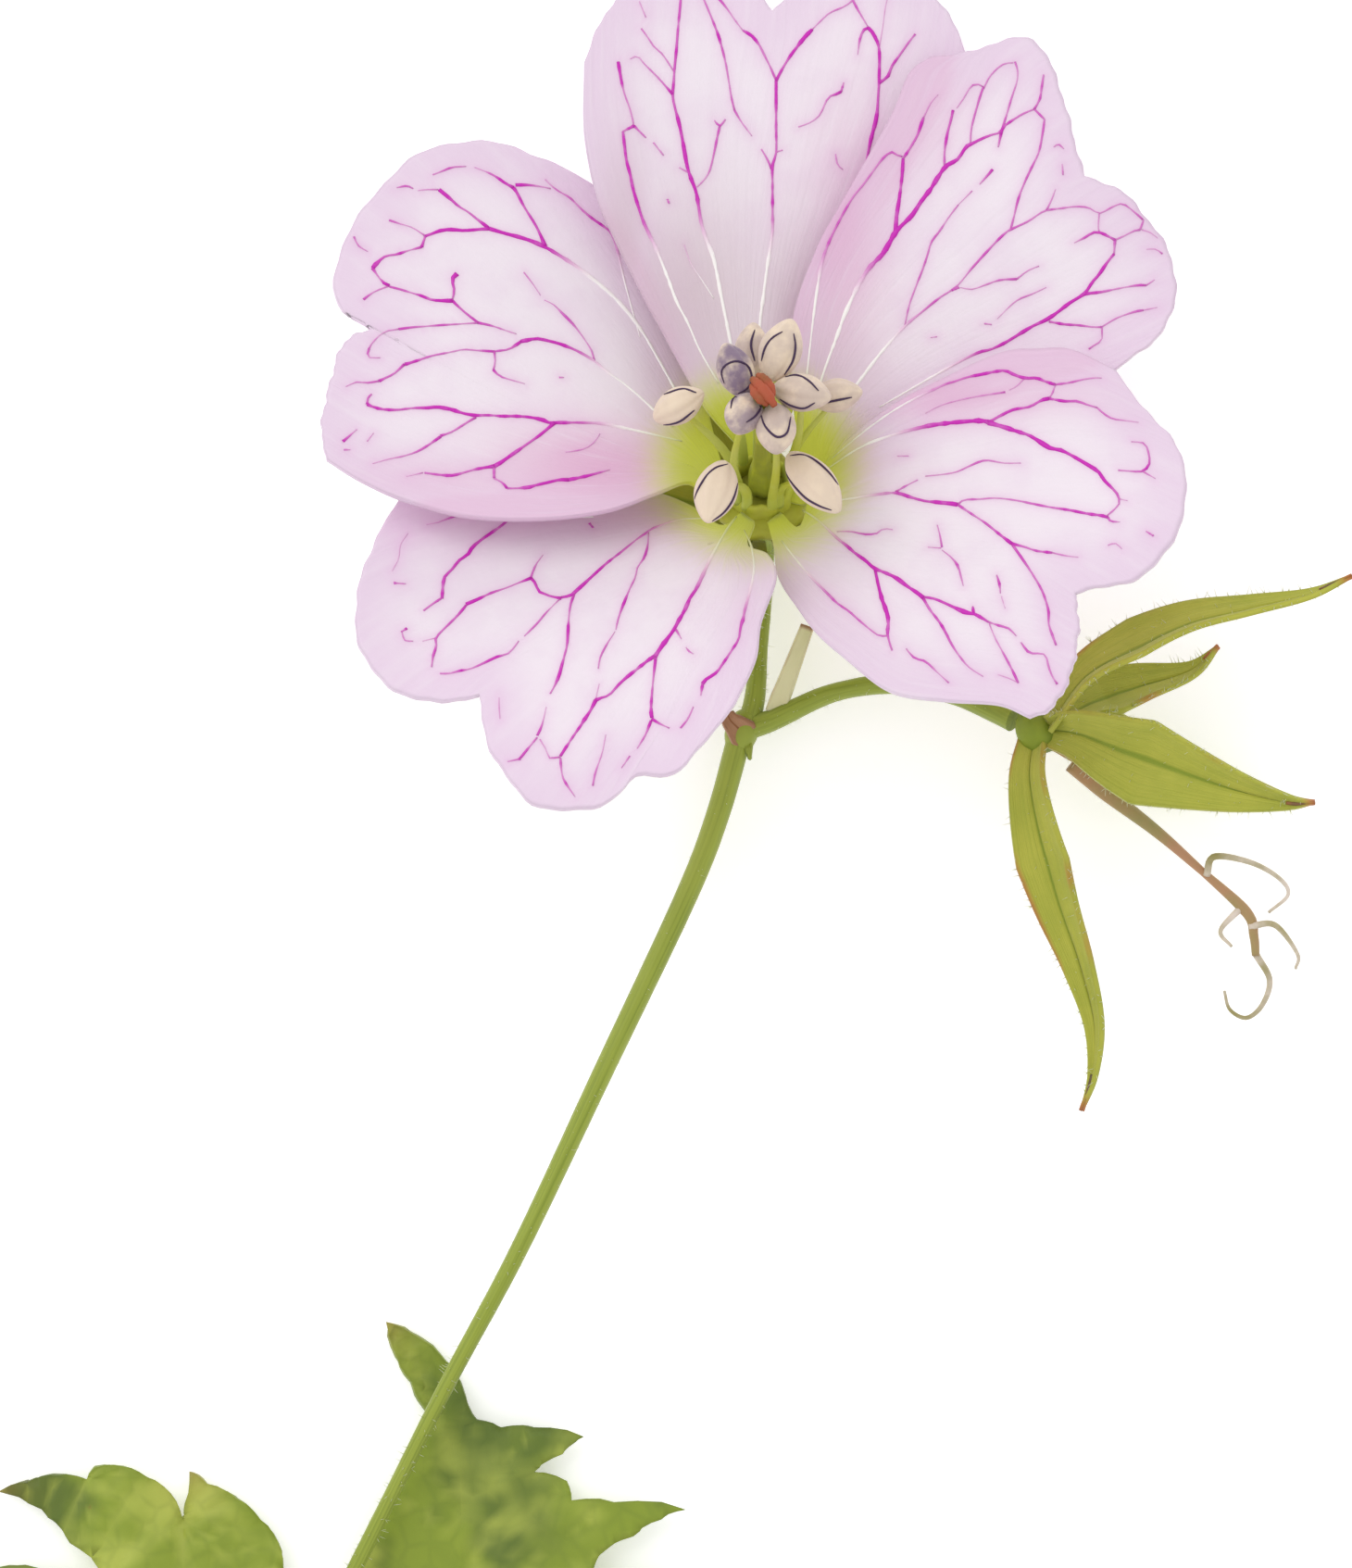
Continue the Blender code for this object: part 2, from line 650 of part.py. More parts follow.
def make_stamens(part, helpers, material):
    ring_top = RECEPTACLE_TOP + GAP + 1.0
    ring_low = RECEPTACLE_TOP + GAP
    bm = bmesh.new()
    profile = [(0.95, ring_low), (1.4, ring_low), (1.3, ring_top), (0.95, ring_top)]
    corners = [bm.verts.new(in_bloom(r, 0, along)) for r, along in profile]
    edges = [bm.edges.new((corners[i], corners[(i + 1) % 4])) for i in range(4)]
    bmesh.ops.spin(
        bm, geom=corners + edges, cent=BLOOM_FOOT, axis=AXIS, angle=2 * math.pi, steps=20, use_merge=True
    )
    bmesh.ops.recalc_face_normals(bm, faces=bm.faces)
    pieces = [add_object(finish_mesh(bm, "stamen_ring"), part, material)]
    rows = [(OUTER_ANTHERS, OUTER_ALONG, 1.9), (INNER_ANTHERS, INNER_ALONG, 1.5)]
    for row, (anthers, along, bulge) in enumerate(rows):
        for i, (middle_pixel, tip_pixel) in enumerate(anthers):
            middle = along_axis_point(*middle_pixel, along)
            ahead = along_axis_point(*tip_pixel, along + 0.5) - middle
            out = middle - (BLOOM_FOOT + AXIS * along)
            angle = math.atan2(out.dot(UPWARD), out.dot(ACROSS))
            path = [
                in_bloom(1.15, angle, ring_low + 0.3),
                in_bloom(1.2, angle, ring_top + 0.6),
                in_bloom(bulge, angle, (ring_top + along) / 2),
                middle,
            ]
            points = smooth(path, 7)
            name = f"stamen_{row}_{i}"
            pieces.append(tube(name, points, [FILAMENT_RADIUS] * 8, 6, material, part))
            pieces.append(ball(name + "_anther", middle, ANTHER_SIZE, ahead, material, part, 8, 6))
    fuse("stamens", pieces, part, helpers, material)


def make_pistil(part, helpers, material):
    start = RECEPTACLE_TOP + GAP
    profile = [(0.0, 0.5), (0.7, 0.6), (1.6, 0.58), (2.6, 0.42), (4.5, 0.34), (7.0, 0.34), (8.2, 0.38)]
    points = [in_bloom(0, 0, start + along) for along, _ in profile]
    pieces = [tube("pistil_column", points, [radius for _, radius in profile], 10, material, part)]
    tip = in_bloom(0, 0, STYLE_LENGTH)
    pieces.append(ball("pistil_stigma", tip, (1.1, 1.0, 1.0), AXIS, material, part, 10, 6))
    fuse("pistil", pieces, part, helpers, material)


def make_spent_bloom(part, helpers, green, brown):
    middle = on_table(*SPENT_PIXEL)
    size = (SPENT_RECEPTACLE,) * 3
    ahead = Vector((1, -0.9, 0))
    pieces = [ball("spent_receptacle", middle, size, ahead, green, part, 12, 8)]
    for i, sepal in enumerate(SPENT_SEPALS):
        spine = [on_table(*p) for p in sepal["spine"]]
        name = f"spent_sepal_{i}"
        pieces.append(blade(name, spine, sepal["widths"], sepal["roll"], 0.16, green, part, 4, 12))
    fuse("spent_calyx", pieces, part, helpers, green)
    pieces = [tube_on_path("spent_style", SPENT_STYLE, 18, 8, brown, part)]
    for i, curl in enumerate(SPENT_CURLS):
        points = smooth([on_table(*p) for p in curl], 10)
        pieces.append(tube(f"spent_curl_{i}", points, [CURL_RADIUS] * 11, 6, brown, part))
    fuse("spent_pistil", pieces, part, helpers, brown)


def leaf_ribs(leaf):
    """Each lobe's midrib in photo pixels, from the base of the blade to the lobe's tip."""
    ribs = []
    for i, (_, fall) in enumerate(leaf["lobes"]):
        bends = leaf["bent_ribs"].get(i, [])
        ribs.append(smooth([Vector(p) for p in (leaf["base"], *bends, fall[0])], RIB_STEPS))
    return ribs


def leaf_height(pixel, ribs, longest):
    """The blade is arched down to the table, and folded a little along each midrib."""
    out = min((pixel - ribs[0][0]).length / longest, 1.0)
    aside = min((pixel - p).length for rib in ribs for p in rib) * PIXEL
    return LEAF_LOW + LEAF_RISE * (1 - out) ** 1.5 + LEAF_FOLD * (1 - math.exp(-aside)) * out


def leaf_sheet(name, leaf, material, collection):
    """The toothed outline, filled, cut into cells and raised off the table."""
    bm = bmesh.new()
    outline = [p for rise, fall in leaf["lobes"] for p in (*rise[:-1], *fall[:-1])]
    outline.append(leaf["lobes"][-1][1][-1])
    corners = [bm.verts.new((px, py, 0)) for px, py in outline]
    edges = [bm.edges.new((a, b)) for a, b in zip(corners, corners[1:] + corners[:1])]
    bmesh.ops.triangle_fill(bm, use_beauty=True, edges=edges)
    for side in range(2):
        low = min(p[side] for p in outline)
        high = max(p[side] for p in outline)
        for cut in range(1, round((high - low) / LEAF_CELL)):
            plane = [0, 0, 0]
            plane[side] = low + cut * LEAF_CELL
            square = Vector((1 - side, side, 0))
            geometry = bm.verts[:] + bm.edges[:] + bm.faces[:]
            bmesh.ops.bisect_plane(bm, geom=geometry, plane_co=plane, plane_no=square, dist=1.0)
    bmesh.ops.remove_doubles(bm, verts=bm.verts, dist=LEAF_CELL / 20)
    bmesh.ops.triangulate(bm, faces=bm.faces)
    ribs = leaf_ribs(leaf)
    longest = max((rib[-1] - rib[0]).length for rib in ribs)
    for vertex in bm.verts:
        pixel = vertex.co.xy
        vertex.co = on_table(pixel.x, pixel.y, leaf_height(pixel, ribs, longest))
    bmesh.ops.recalc_face_normals(bm, faces=bm.faces)
    return add_object(finish_mesh(bm, name), collection, material)


def make_leaves(part, helpers, material):
    for name, leaf in LEAVES.items():
        flat = leaf_sheet(name + "_sheet", leaf, material, part)
        made = add_object(thicken(flat, name + "_blade", BLADE, floor=0.0), part, material)
        petiole = [(px, py, height, PETIOLE_RADIUS) for px, py, height in leaf["petiole"]]
        stalk = tube_on_path(name + "_petiole", petiole, 10, 8, material, part)
        fuse(name, [made, stalk], part, helpers, material, solver="MANIFOLD")


def main():
    clear_scene()
    part, helpers = make_collections()
    finish = {name: make_material(name) for name in COLOURS}
    make_petals(part, finish["petal"])
    make_bloom_calyx(part, helpers, finish["calyx"])
    make_stamens(part, helpers, finish["stamen"])
    make_pistil(part, helpers, finish["pistil"])
    make_spent_bloom(part, helpers, finish["calyx"], finish["pistil"])
    make_stem(part, helpers, finish["stem"])
    make_leaves(part, helpers, finish["leaf"])


main()
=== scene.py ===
"""Finish of a cut hardy geranium stem: veined petals, stamens, hairy stem, leaves and a spent bloom.

Lengths are millimetres until a mesh is finished, which makes metres of them. Places are read as
pixels of the 1460 by 1693 photograph with a height over the table, and on_table turns them into
real ones, in the way that the solids were laid out.
"""

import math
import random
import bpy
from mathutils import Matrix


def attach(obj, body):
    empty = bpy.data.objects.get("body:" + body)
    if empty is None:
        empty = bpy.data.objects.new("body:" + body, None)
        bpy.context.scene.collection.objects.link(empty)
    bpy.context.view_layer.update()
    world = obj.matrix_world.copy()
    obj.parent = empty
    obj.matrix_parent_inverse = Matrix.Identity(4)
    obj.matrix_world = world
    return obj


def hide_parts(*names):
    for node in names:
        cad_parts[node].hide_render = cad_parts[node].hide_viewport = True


bl_info = {
    "name": "Hardy Geranium",
    "version": (1, 0, 0),
    "blender": (4, 5, 0),
    "location": "View3D > Sidebar > Geranium",
    "description": "Builds the bloom, stem, leaves and spent bloom of a cut hardy geranium",
    "category": "Object",
}

import bmesh
import bpy
from mathutils import Matrix, Vector, bvhtree, kdtree

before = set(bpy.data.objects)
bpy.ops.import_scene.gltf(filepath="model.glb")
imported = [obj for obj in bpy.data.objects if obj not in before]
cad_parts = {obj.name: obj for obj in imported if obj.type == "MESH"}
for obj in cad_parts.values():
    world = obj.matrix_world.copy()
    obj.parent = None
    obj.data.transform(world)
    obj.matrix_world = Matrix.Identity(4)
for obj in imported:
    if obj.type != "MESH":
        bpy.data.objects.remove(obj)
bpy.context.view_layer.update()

METRES = 0.001

# The camera: millimetres to a photo pixel on the table, its height, the pixel under it, and where the
# part's middle lies from there.
PIXEL = 0.0375
EYE_HEIGHT = 529.0
EYE_PIXEL = (730.0, 846.5)
MIDDLE = (-2.19, -7.98)
SIGHT_STEPS = 24
AXIS_SIGHT_STEPS = 12
SENSOR = 36
CLIP_START = 0.01

# The floor and the lamp, in metres.
FLOOR_HALF = 1.5
FLOOR_LEVEL = -0.0002
LAMP_PLACE = (-0.28, 0.34, 0.5)
LAMP_SIZE = 0.5

# The open bloom. Lengths are millimetres, and those named along run from its foot along its axis.
# RIM_WAVE is in photo pixels; its two waves turn by RIM_SLOW and RIM_FAST radians a column and die out
# over the RIM_CALM columns at each end. CLAW_INWARD is the share by which claws reach on to the middle.
BLOOM_PIXEL = (822.0, 540.0)
BLOOM_HEIGHT = 4.1
BLOOM_TILT = math.radians(26)
LIMB_SLOPE = 0.27
FUNNEL_DEPTH = 1.6
FUNNEL_RADIUS = 2.2
TIP_DROOP = 0.8
PETAL_LENGTH = 19.0
PETAL_HALF_TURN = math.radians(36)
PETAL_TWIST = 0.95
TWIST_START = 0.8
TWIST_FULL = 4.0
PETAL_WAVE = 0.16
PETAL_COLUMNS = 96
PETAL_ROWS = 96
RIM_WAVE = 1.1
RIM_SLOW = 0.62
RIM_FAST = 1.45
RIM_FAST_SHARE = 0.7
RIM_CALM = 8
# Where one petal lies over another, both get a painted pink shade for light that passes through two layers.
# It grows over OVERLAP_REACH millimetres in from the edge.
OVERLAP_SHADE = 0.5
OVERLAP_REACH = 0.8
CLAW_INWARD = 0.5
RECEPTACLE_TOP = 0.72
RECEPTACLE_FOOT = -1.5
STYLE_LENGTH = 9.6
OUTER_ALONG = 6.8
INNER_ALONG = 8.7

# Sepals, with the turn of each of the open bloom's five in degrees, and bracts.
SEPAL_BELOW = 2.6
SEPAL_LENGTH = 8.6
SEPAL_WIDTH = 3.4
SEPAL_TURNS = (30, 102, 176, 250, 320)
SEPAL_THICKNESS = 0.26
SPENT_THICKNESS = 0.22
BRACT_THICKNESS = 0.16
AWN_STEPS = 7
AWN_RADIUS = 0.09

# Leaves. A midrib has four times RIB_STEPS steps, LEAF_CELL is in photo pixels, and TOOTH_BULGE is a
# share of the space between two points of the edge.
LEAF_RISE = 1.5
LEAF_LOW = 0.27
LEAF_FOLD = 0.35
LEAF_CLEAR = 0.16
LEAF_SWELL = 0.12
MIDRIB_GROOVE = 0.16
SIDE_GROOVE = 0.1
TOOTH_BULGE = 0.07
TOOTH_REACH = 0.8
FOLD_REACH = 0.7
LEAF_THICKNESS = 0.3
PETIOLE_RADIUS = 0.42
RIB_STEPS = 16
LEAF_CELL = 14

# Veins: the space between their rings in photo pixels, how far their halo reaches, how much they rise
# for their width and how far they stand off the petal. Those finer than VEIN_FULL fade towards
# VEIN_FAINT of their colour, and widths vary by VEIN_UNEVEN. White turns to colour from WHITE_BEFORE
# photo pixels before the first point that isn't white to WHITE_AFTER past it.
VEIN_STEP = 6.0
VEIN_HALO = 0.2
VEIN_RISE = 0.3
VEIN_LIFT = 0.03
VEIN_FAINT = 0.5
VEIN_FULL = 0.2
VEIN_UNEVEN = (0.74, 1.26)
WHITE_BEFORE = 60
WHITE_AFTER = 12

# The throat's middle and reach in photo pixels, and how much it shines of itself, a painted glow that
# lightens the shaded throat.
THROAT_PIXEL = (817, 503)
THROAT_REACH = (118, 108)
THROAT_GLOW = 0.08

# Anthers: where the two side grooves lie in radians, the size against what the photo shows, the depth
# in millimetres and the mesh's segments and rings.
ANTHER_GROOVE = 0.75
ANTHER_LONG = 1.12
ANTHER_WIDE = 0.92
ANTHER_DEEP = 1.05
ANTHER_MESH = (48, 30)

# Filaments: (radius, along) of their foot and the next place, and the radius of the bulge halfway from
# BULGE_FROM to the anther. They end FILAMENT_END under the anther's middle, are FILAMENT_FLAT as deep
# as wide, and lose FILAMENT_TAPER of their width.
FILAMENT_FEET = ((1.15, 1.3), (1.2, 2.6))
OUTER_BULGE = 1.9
INNER_BULGE = 1.5
BULGE_FROM = 2.0
FILAMENT_END = 0.25
FILAMENT_STEPS = 24
FILAMENT_TAPER = 0.55
FILAMENT_FLAT = 0.7

# Hairs: how far each kind reaches and how thick it is, how many there are to a sepal or to a step of a
# stalk, the range of their lengths, how they lean and how far they are sunk in.
CALYX_HAIR = (0.42, 0.022)
STEM_HAIR = (0.3, 0.016)
SPENT_HAIR = (0.36, 0.018)
CALYX_HAIRS = 130
SPENT_HAIRS = 120
STEM_HAIRS = 5
HAIR_RANGE = (0.6, 1.2)
HAIR_LEAN = 0.35
HAIR_SUNK = 0.02

# Steps of a curve between two of its points and of a stalk's radius, and the distances within which
# points are joined.
CURVE_STEPS = 12
RADIUS_STEPS = 60
RING_WELD = 0.00002
TURNED_WELD = 0.0005

# Turned forms of the open bloom, as (radius, along) pairs: the receptacle, the ring on it, and the
# pistil's column, which counts from a little above the receptacle's top.
RECEPTACLE = [
    (0.0, RECEPTACLE_FOOT), (0.75, RECEPTACLE_FOOT), (1.35, -0.9), (1.75, -0.1), (1.95, 0.4),
    (1.85, RECEPTACLE_TOP), (1.2, RECEPTACLE_TOP + 0.08), (0.0, RECEPTACLE_TOP + 0.1),
]
RECEPTACLE_RING = [(0.95, 0.7), (1.3, 0.7), (1.34, 1.2), (1.24, 1.6), (1.05, 1.6), (0.95, 1.3), (0.95, 0.7)]
COLUMN_TOP = STYLE_LENGTH - RECEPTACLE_TOP
COLUMN = [
    (0.0, 0.0), (0.5, 0.0), (0.56, 0.7), (0.5, 1.4), (0.36, 2.4), (0.28, 4.5), (0.28, 7.0),
    (0.36, COLUMN_TOP - 0.75), (0.3, COLUMN_TOP - 0.4), (0.0, COLUMN_TOP - 0.3),
]

# Each petal's outline in photo pixels, from its claw: left edge, left lobe to the notch, right lobe
# from the notch, right edge back to the claw. turn is its direction from the bloom's middle.
PETALS = {
    "petal_top": {
        "turn": 88,
        "left": [(804, 491), (765, 445), (735, 394), (712, 352), (696, 323), (664, 259), (645, 214),
                 (631, 144), (631, 67)],
        "left_lobe": [(631, 67), (653, 16), (690, -20), (745, -38), (800, -24), (834, 13)],
        "right_lobe": [(834, 13), (870, -24), (925, -38), (980, -25), (1026, 19), (1042, 57)],
        "right": [(1042, 57), (1035, 110), (1000, 180), (955, 250), (915, 310), (880, 370), (860, 430),
                  (840, 491)],
    },
    "petal_upper_right": {
        "turn": 42,
        "left": [(863, 508), (856, 430), (856, 345), (882, 268), (908, 220), (962, 125), (981, 80),
                 (1005, 62)],
        "left_lobe": [(1005, 62), (1043, 58), (1081, 45), (1118, 45), (1141, 85),
                      (1155, 131), (1171, 191)],
        "right_lobe": [(1171, 191), (1208, 205), (1241, 239), (1266, 282), (1268, 328), (1251, 362),
                       (1205, 399)],
        "right": [(1205, 399), (1150, 425), (1080, 440), (1000, 450), (930, 470), (895, 500), (874, 542)],
    },
    "petal_lower_right": {
        "turn": -42,
        "left": [(865, 569), (880, 520), (910, 480), (960, 440), (1020, 408), (1081, 381), (1121, 377),
                 (1158, 378),
                 (1205, 400)],
        "left_lobe": [(1205, 400), (1241, 449), (1271, 480), (1281, 541), (1260, 594), (1226, 625),
                      (1161, 640)],
        "right_lobe": [(1161, 640), (1165, 677), (1157, 726), (1137, 763), (1112, 775)],
        "right": [(1112, 775), (1078, 761), (1020, 757), (961, 747), (909, 708), (881, 683), (860, 655),
                  (841, 625),
                  (836, 590)],
    },
    "petal_lower_left": {
        "turn": -122,
        "left": [(808, 590), (830, 600), (838, 624), (822, 671), (816, 712), (794, 759)],
        "left_lobe": [(794, 759), (763, 799), (734, 829), (719, 838), (687, 839), (657, 865),
                      (624, 875), (571, 865), (534, 818), (521, 780), (517, 752)],
        "right_lobe": [(517, 752), (461, 757), (415, 737), (389, 699), (384, 652), (401, 592), (431, 540)],
        "right": [(431, 540), (470, 525), (540, 520), (620, 525), (700, 532), (745, 547), (779, 569)],
    },
    "petal_left": {
        "turn": 159,
        "left": [(770, 542), (745, 522), (710, 533), (657, 552), (587, 561), (507, 559), (440, 542),
                 (390, 520),
                 (353, 497)],
        "left_lobe": [(353, 497), (347, 460), (358, 407), (372, 370), (400, 357)],
        "right_lobe": [(400, 357), (365, 327), (365, 277), (403, 212), (453, 167), (517, 153),
                       (587, 172), (638, 199)],
        "right": [(638, 199), (680, 240), (715, 300), (740, 360), (760, 430), (781, 508)],
    },
}

# Stamens: photo pixels of each anther's middle and tip, its length and width in pixels, how grey it
# is, and its dark lines in photo pixels.
OUTER_ANTHERS = [
    ((733, 438), (757, 425), 54, 39, 0.1,
     [[(712, 428), (722, 424), (738, 420), (752, 424)], [(713, 459), (725, 458), (736, 454), (750, 443)]]),
    ((773, 531), (764, 563), 76, 44, 0.05,
     [[(786, 501), (773, 505), (763, 514), (753, 530), (748, 547)],
      [(794, 505), (797, 518), (792, 538), (782, 553), (769, 563)]]),
    ((879, 521), (905, 552), 86, 43, 0.1,
     [[(853, 492), (866, 491), (880, 497), (895, 510), (907, 526)],
      [(846, 500), (852, 517), (868, 536), (884, 546), (898, 551)]]),
    ((903, 427), (930, 423), 52, 36, 0.3, [[(885, 436), (900, 433), (920, 429)]]),
    ((812, 378), (814, 348), 54, 36, 0.5, [[(815, 356), (811, 372), (815, 390)]]),
]
INNER_ANTHERS = [
    ((794, 400), (784, 375), 56, 38, 1.0,
     [[(782, 414), (779, 402), (784, 394), (796, 390), (808, 396), (812, 410), (806, 420), (797, 425)]]),
    ((843, 378), (854, 348), 64, 44, 0.3,
     [[(822, 390), (826, 376), (834, 365), (845, 358)], [(857, 360), (859, 374), (856, 390), (847, 405)]]),
    ((866, 424), (895, 430), 60, 41, 0.35,
     [[(848, 407), (860, 405), (873, 411), (884, 422)], [(842, 431), (854, 438), (868, 441), (880, 435)]]),
    ((838, 463), (838, 490), 62, 41, 0.45,
     [[(821, 444), (825, 458), (833, 468), (841, 472), (850, 467), (854, 450)]]),
    ((803, 447), (795, 470), 52, 39, 0.8,
     [[(789, 441), (792, 430), (805, 423), (818, 424), (823, 436), (816, 449), (806, 456)]]),
]

# Stem and pedicels: photo pixels, height over the table and radius.
STEM_PATH = [
    (800, 790, 1.5, 0.5),
    (775, 880, 1.7, 0.41),
    (740, 970, 1.9, 0.37),
    (650, 1160, 2.3, 0.34),
    (560, 1350, 2.5, 0.31),
    (480, 1500, 2.5, 0.3),
    (385, 1690, 2.3, 0.34),
    (313, 1838, 1.9, 0.4),
    (262, 1950, 1.1, 0.4),
    (222, 2046, 0.5, 0.4),
]
BLOOM_PEDICEL = [
    (803, 792, 1.5, 0.48),
    (814, 760, 1.35, 0.4),
    (819, 710, 1.05, 0.36),
    (822, 655, 0.85, 0.35),
    (823, 610, 0.95, 0.38),
    (823, 584, 1.4, 0.45),
    (822, 567, 2.2, 0.55),
]
SPENT_PEDICEL = [
    (803, 788, 1.5, 0.48),
    (835, 777, 1.7, 0.42),
    (900, 748, 2.3, 0.4),
    (970, 738, 3.2, 0.38),
    (1030, 748, 4.2, 0.38),
    (1072, 765, 5.1, 0.44),
    (1095, 776, 5.6, 0.55),
]
STEM_FORK = (801, 790, 1.5)
STEM_NODE = (313, 1838, 1.9)

# Bracts at the fork (pale, brown, green) and stipules at the node: middle line and widths along it.
BRACTS = [
    {"spine": [(836, 770, 1.9), (848, 740, 2.2), (860, 708, 2.5), (872, 676, 2.7)],
     "widths": [0.7, 0.75, 0.7, 0.5]},
    {"spine": [(806, 795, 2.0), (796, 785, 2.25), (789, 778, 2.35), (785, 770, 2.3)],
     "widths": [1.1, 1.2, 0.9, 0.5]},
    {"spine": [(806, 796, 1.6), (808, 806, 1.9), (809, 814, 1.9), (810, 820, 1.8)],
     "widths": [0.5, 0.5, 0.4, 0.1]},
]
STIPULES = [
    {"spine": [(318, 1835, 2.4), (335, 1812, 2.9), (348, 1792, 3.0)], "widths": [1.0, 0.9, 0.5]},
    {"spine": [(306, 1842, 2.5), (285, 1822, 3.0), (272, 1804, 3.1)], "widths": [1.0, 0.9, 0.5]},
]

# The spent bloom: photo pixels and height of each sepal's middle line, its widths along it, and its
# roll in degrees. The style's places end with a radius.
SPENT_PIXEL = (1122, 788, 6.2)
SPENT_SEPALS = [
    {
        "spine": [(1128, 783, 6.9), (1165, 726, 7.6), (1215, 693, 7.9), (1280, 665, 8.0), (1350, 652, 8.0),
                  (1415, 640, 8.0), (1460, 621, 8.1)],
        "widths": [1.2, 2.1, 2.6, 2.8, 2.75, 2.4, 1.8, 1.1, 0.55, 0.2, 0.06],
        "roll": 58,
    },
    {
        "spine": [(1130, 783, 6.1), (1180, 750, 5.3), (1230, 735, 4.5), (1285, 722, 3.7), (1315, 697, 3.2)],
        "widths": [1.2, 2.1, 2.6, 2.7, 2.5, 1.9, 1.1, 0.4, 0.08],
        "roll": 40,
    },
    {
        "spine": [(1128, 789, 6.9), (1165, 796, 8.0), (1215, 817, 8.8), (1275, 838, 9.1), (1335, 856, 9.0),
                  (1390, 867, 8.7), (1420, 867, 8.5)],
        "widths": [1.3, 2.5, 3.2, 3.5, 3.55, 3.45, 3.1, 2.6, 1.8, 0.4, 0.06],
        "roll": -18,
    },
    {
        "spine": [(1114, 796, 6.6), (1108, 840, 6.9), (1118, 905, 6.8), (1138, 975, 6.5), (1162, 1040, 6.2),
                  (1180, 1105, 5.9), (1179, 1160, 5.6), (1167, 1199, 5.3)],
        "widths": [1.2, 1.7, 2.1, 2.3, 2.35, 2.3, 2.0, 1.5, 0.9, 0.35, 0.1, 0.06],
        "roll": -30,
    },
    {
        "spine": [(1120, 789, 5.2), (1150, 790, 3.9), (1200, 805, 2.7), (1262, 828, 1.7), (1330, 846, 1.0),
                  (1372, 858, 0.7)],
        "widths": [1.2, 2.0, 2.6, 2.8, 2.6, 2.0, 1.2, 0.4, 0.08],
        "roll": 12,
    },
]
SPENT_STYLE = [
    (1158, 824, 5.9, 0.4),
    (1176, 840, 5.8, 0.34),
    (1197, 858, 5.6, 0.26),
    (1248, 897, 5.5, 0.18),
    (1295, 938, 5.4, 0.16),
    (1346, 985, 5.3, 0.21),
    (1354, 1011, 5.2, 0.23),
    (1356, 1032, 5.2, 0.16),
]
SPENT_CURLS = [
    [(1303, 945, 5.5), (1311, 925, 5.9), (1350, 931, 6.4), (1381, 948, 6.5), (1391, 966, 6.2),
     (1370, 985, 5.8)],
    [(1350, 1000, 5.3), (1377, 999, 5.8), (1401, 1030, 6.1), (1399, 1046, 5.9)],
    [(1356, 1030, 5.1), (1371, 1058, 4.6), (1363, 1085, 4.3), (1346, 1099, 4.2), (1328, 1090, 4.3),
     (1322, 1070, 4.5)],
    [(1340, 980, 5.3), (1318, 1005, 5.9), (1330, 1022, 6.2)],
]
CURL_RADIUS = 0.12

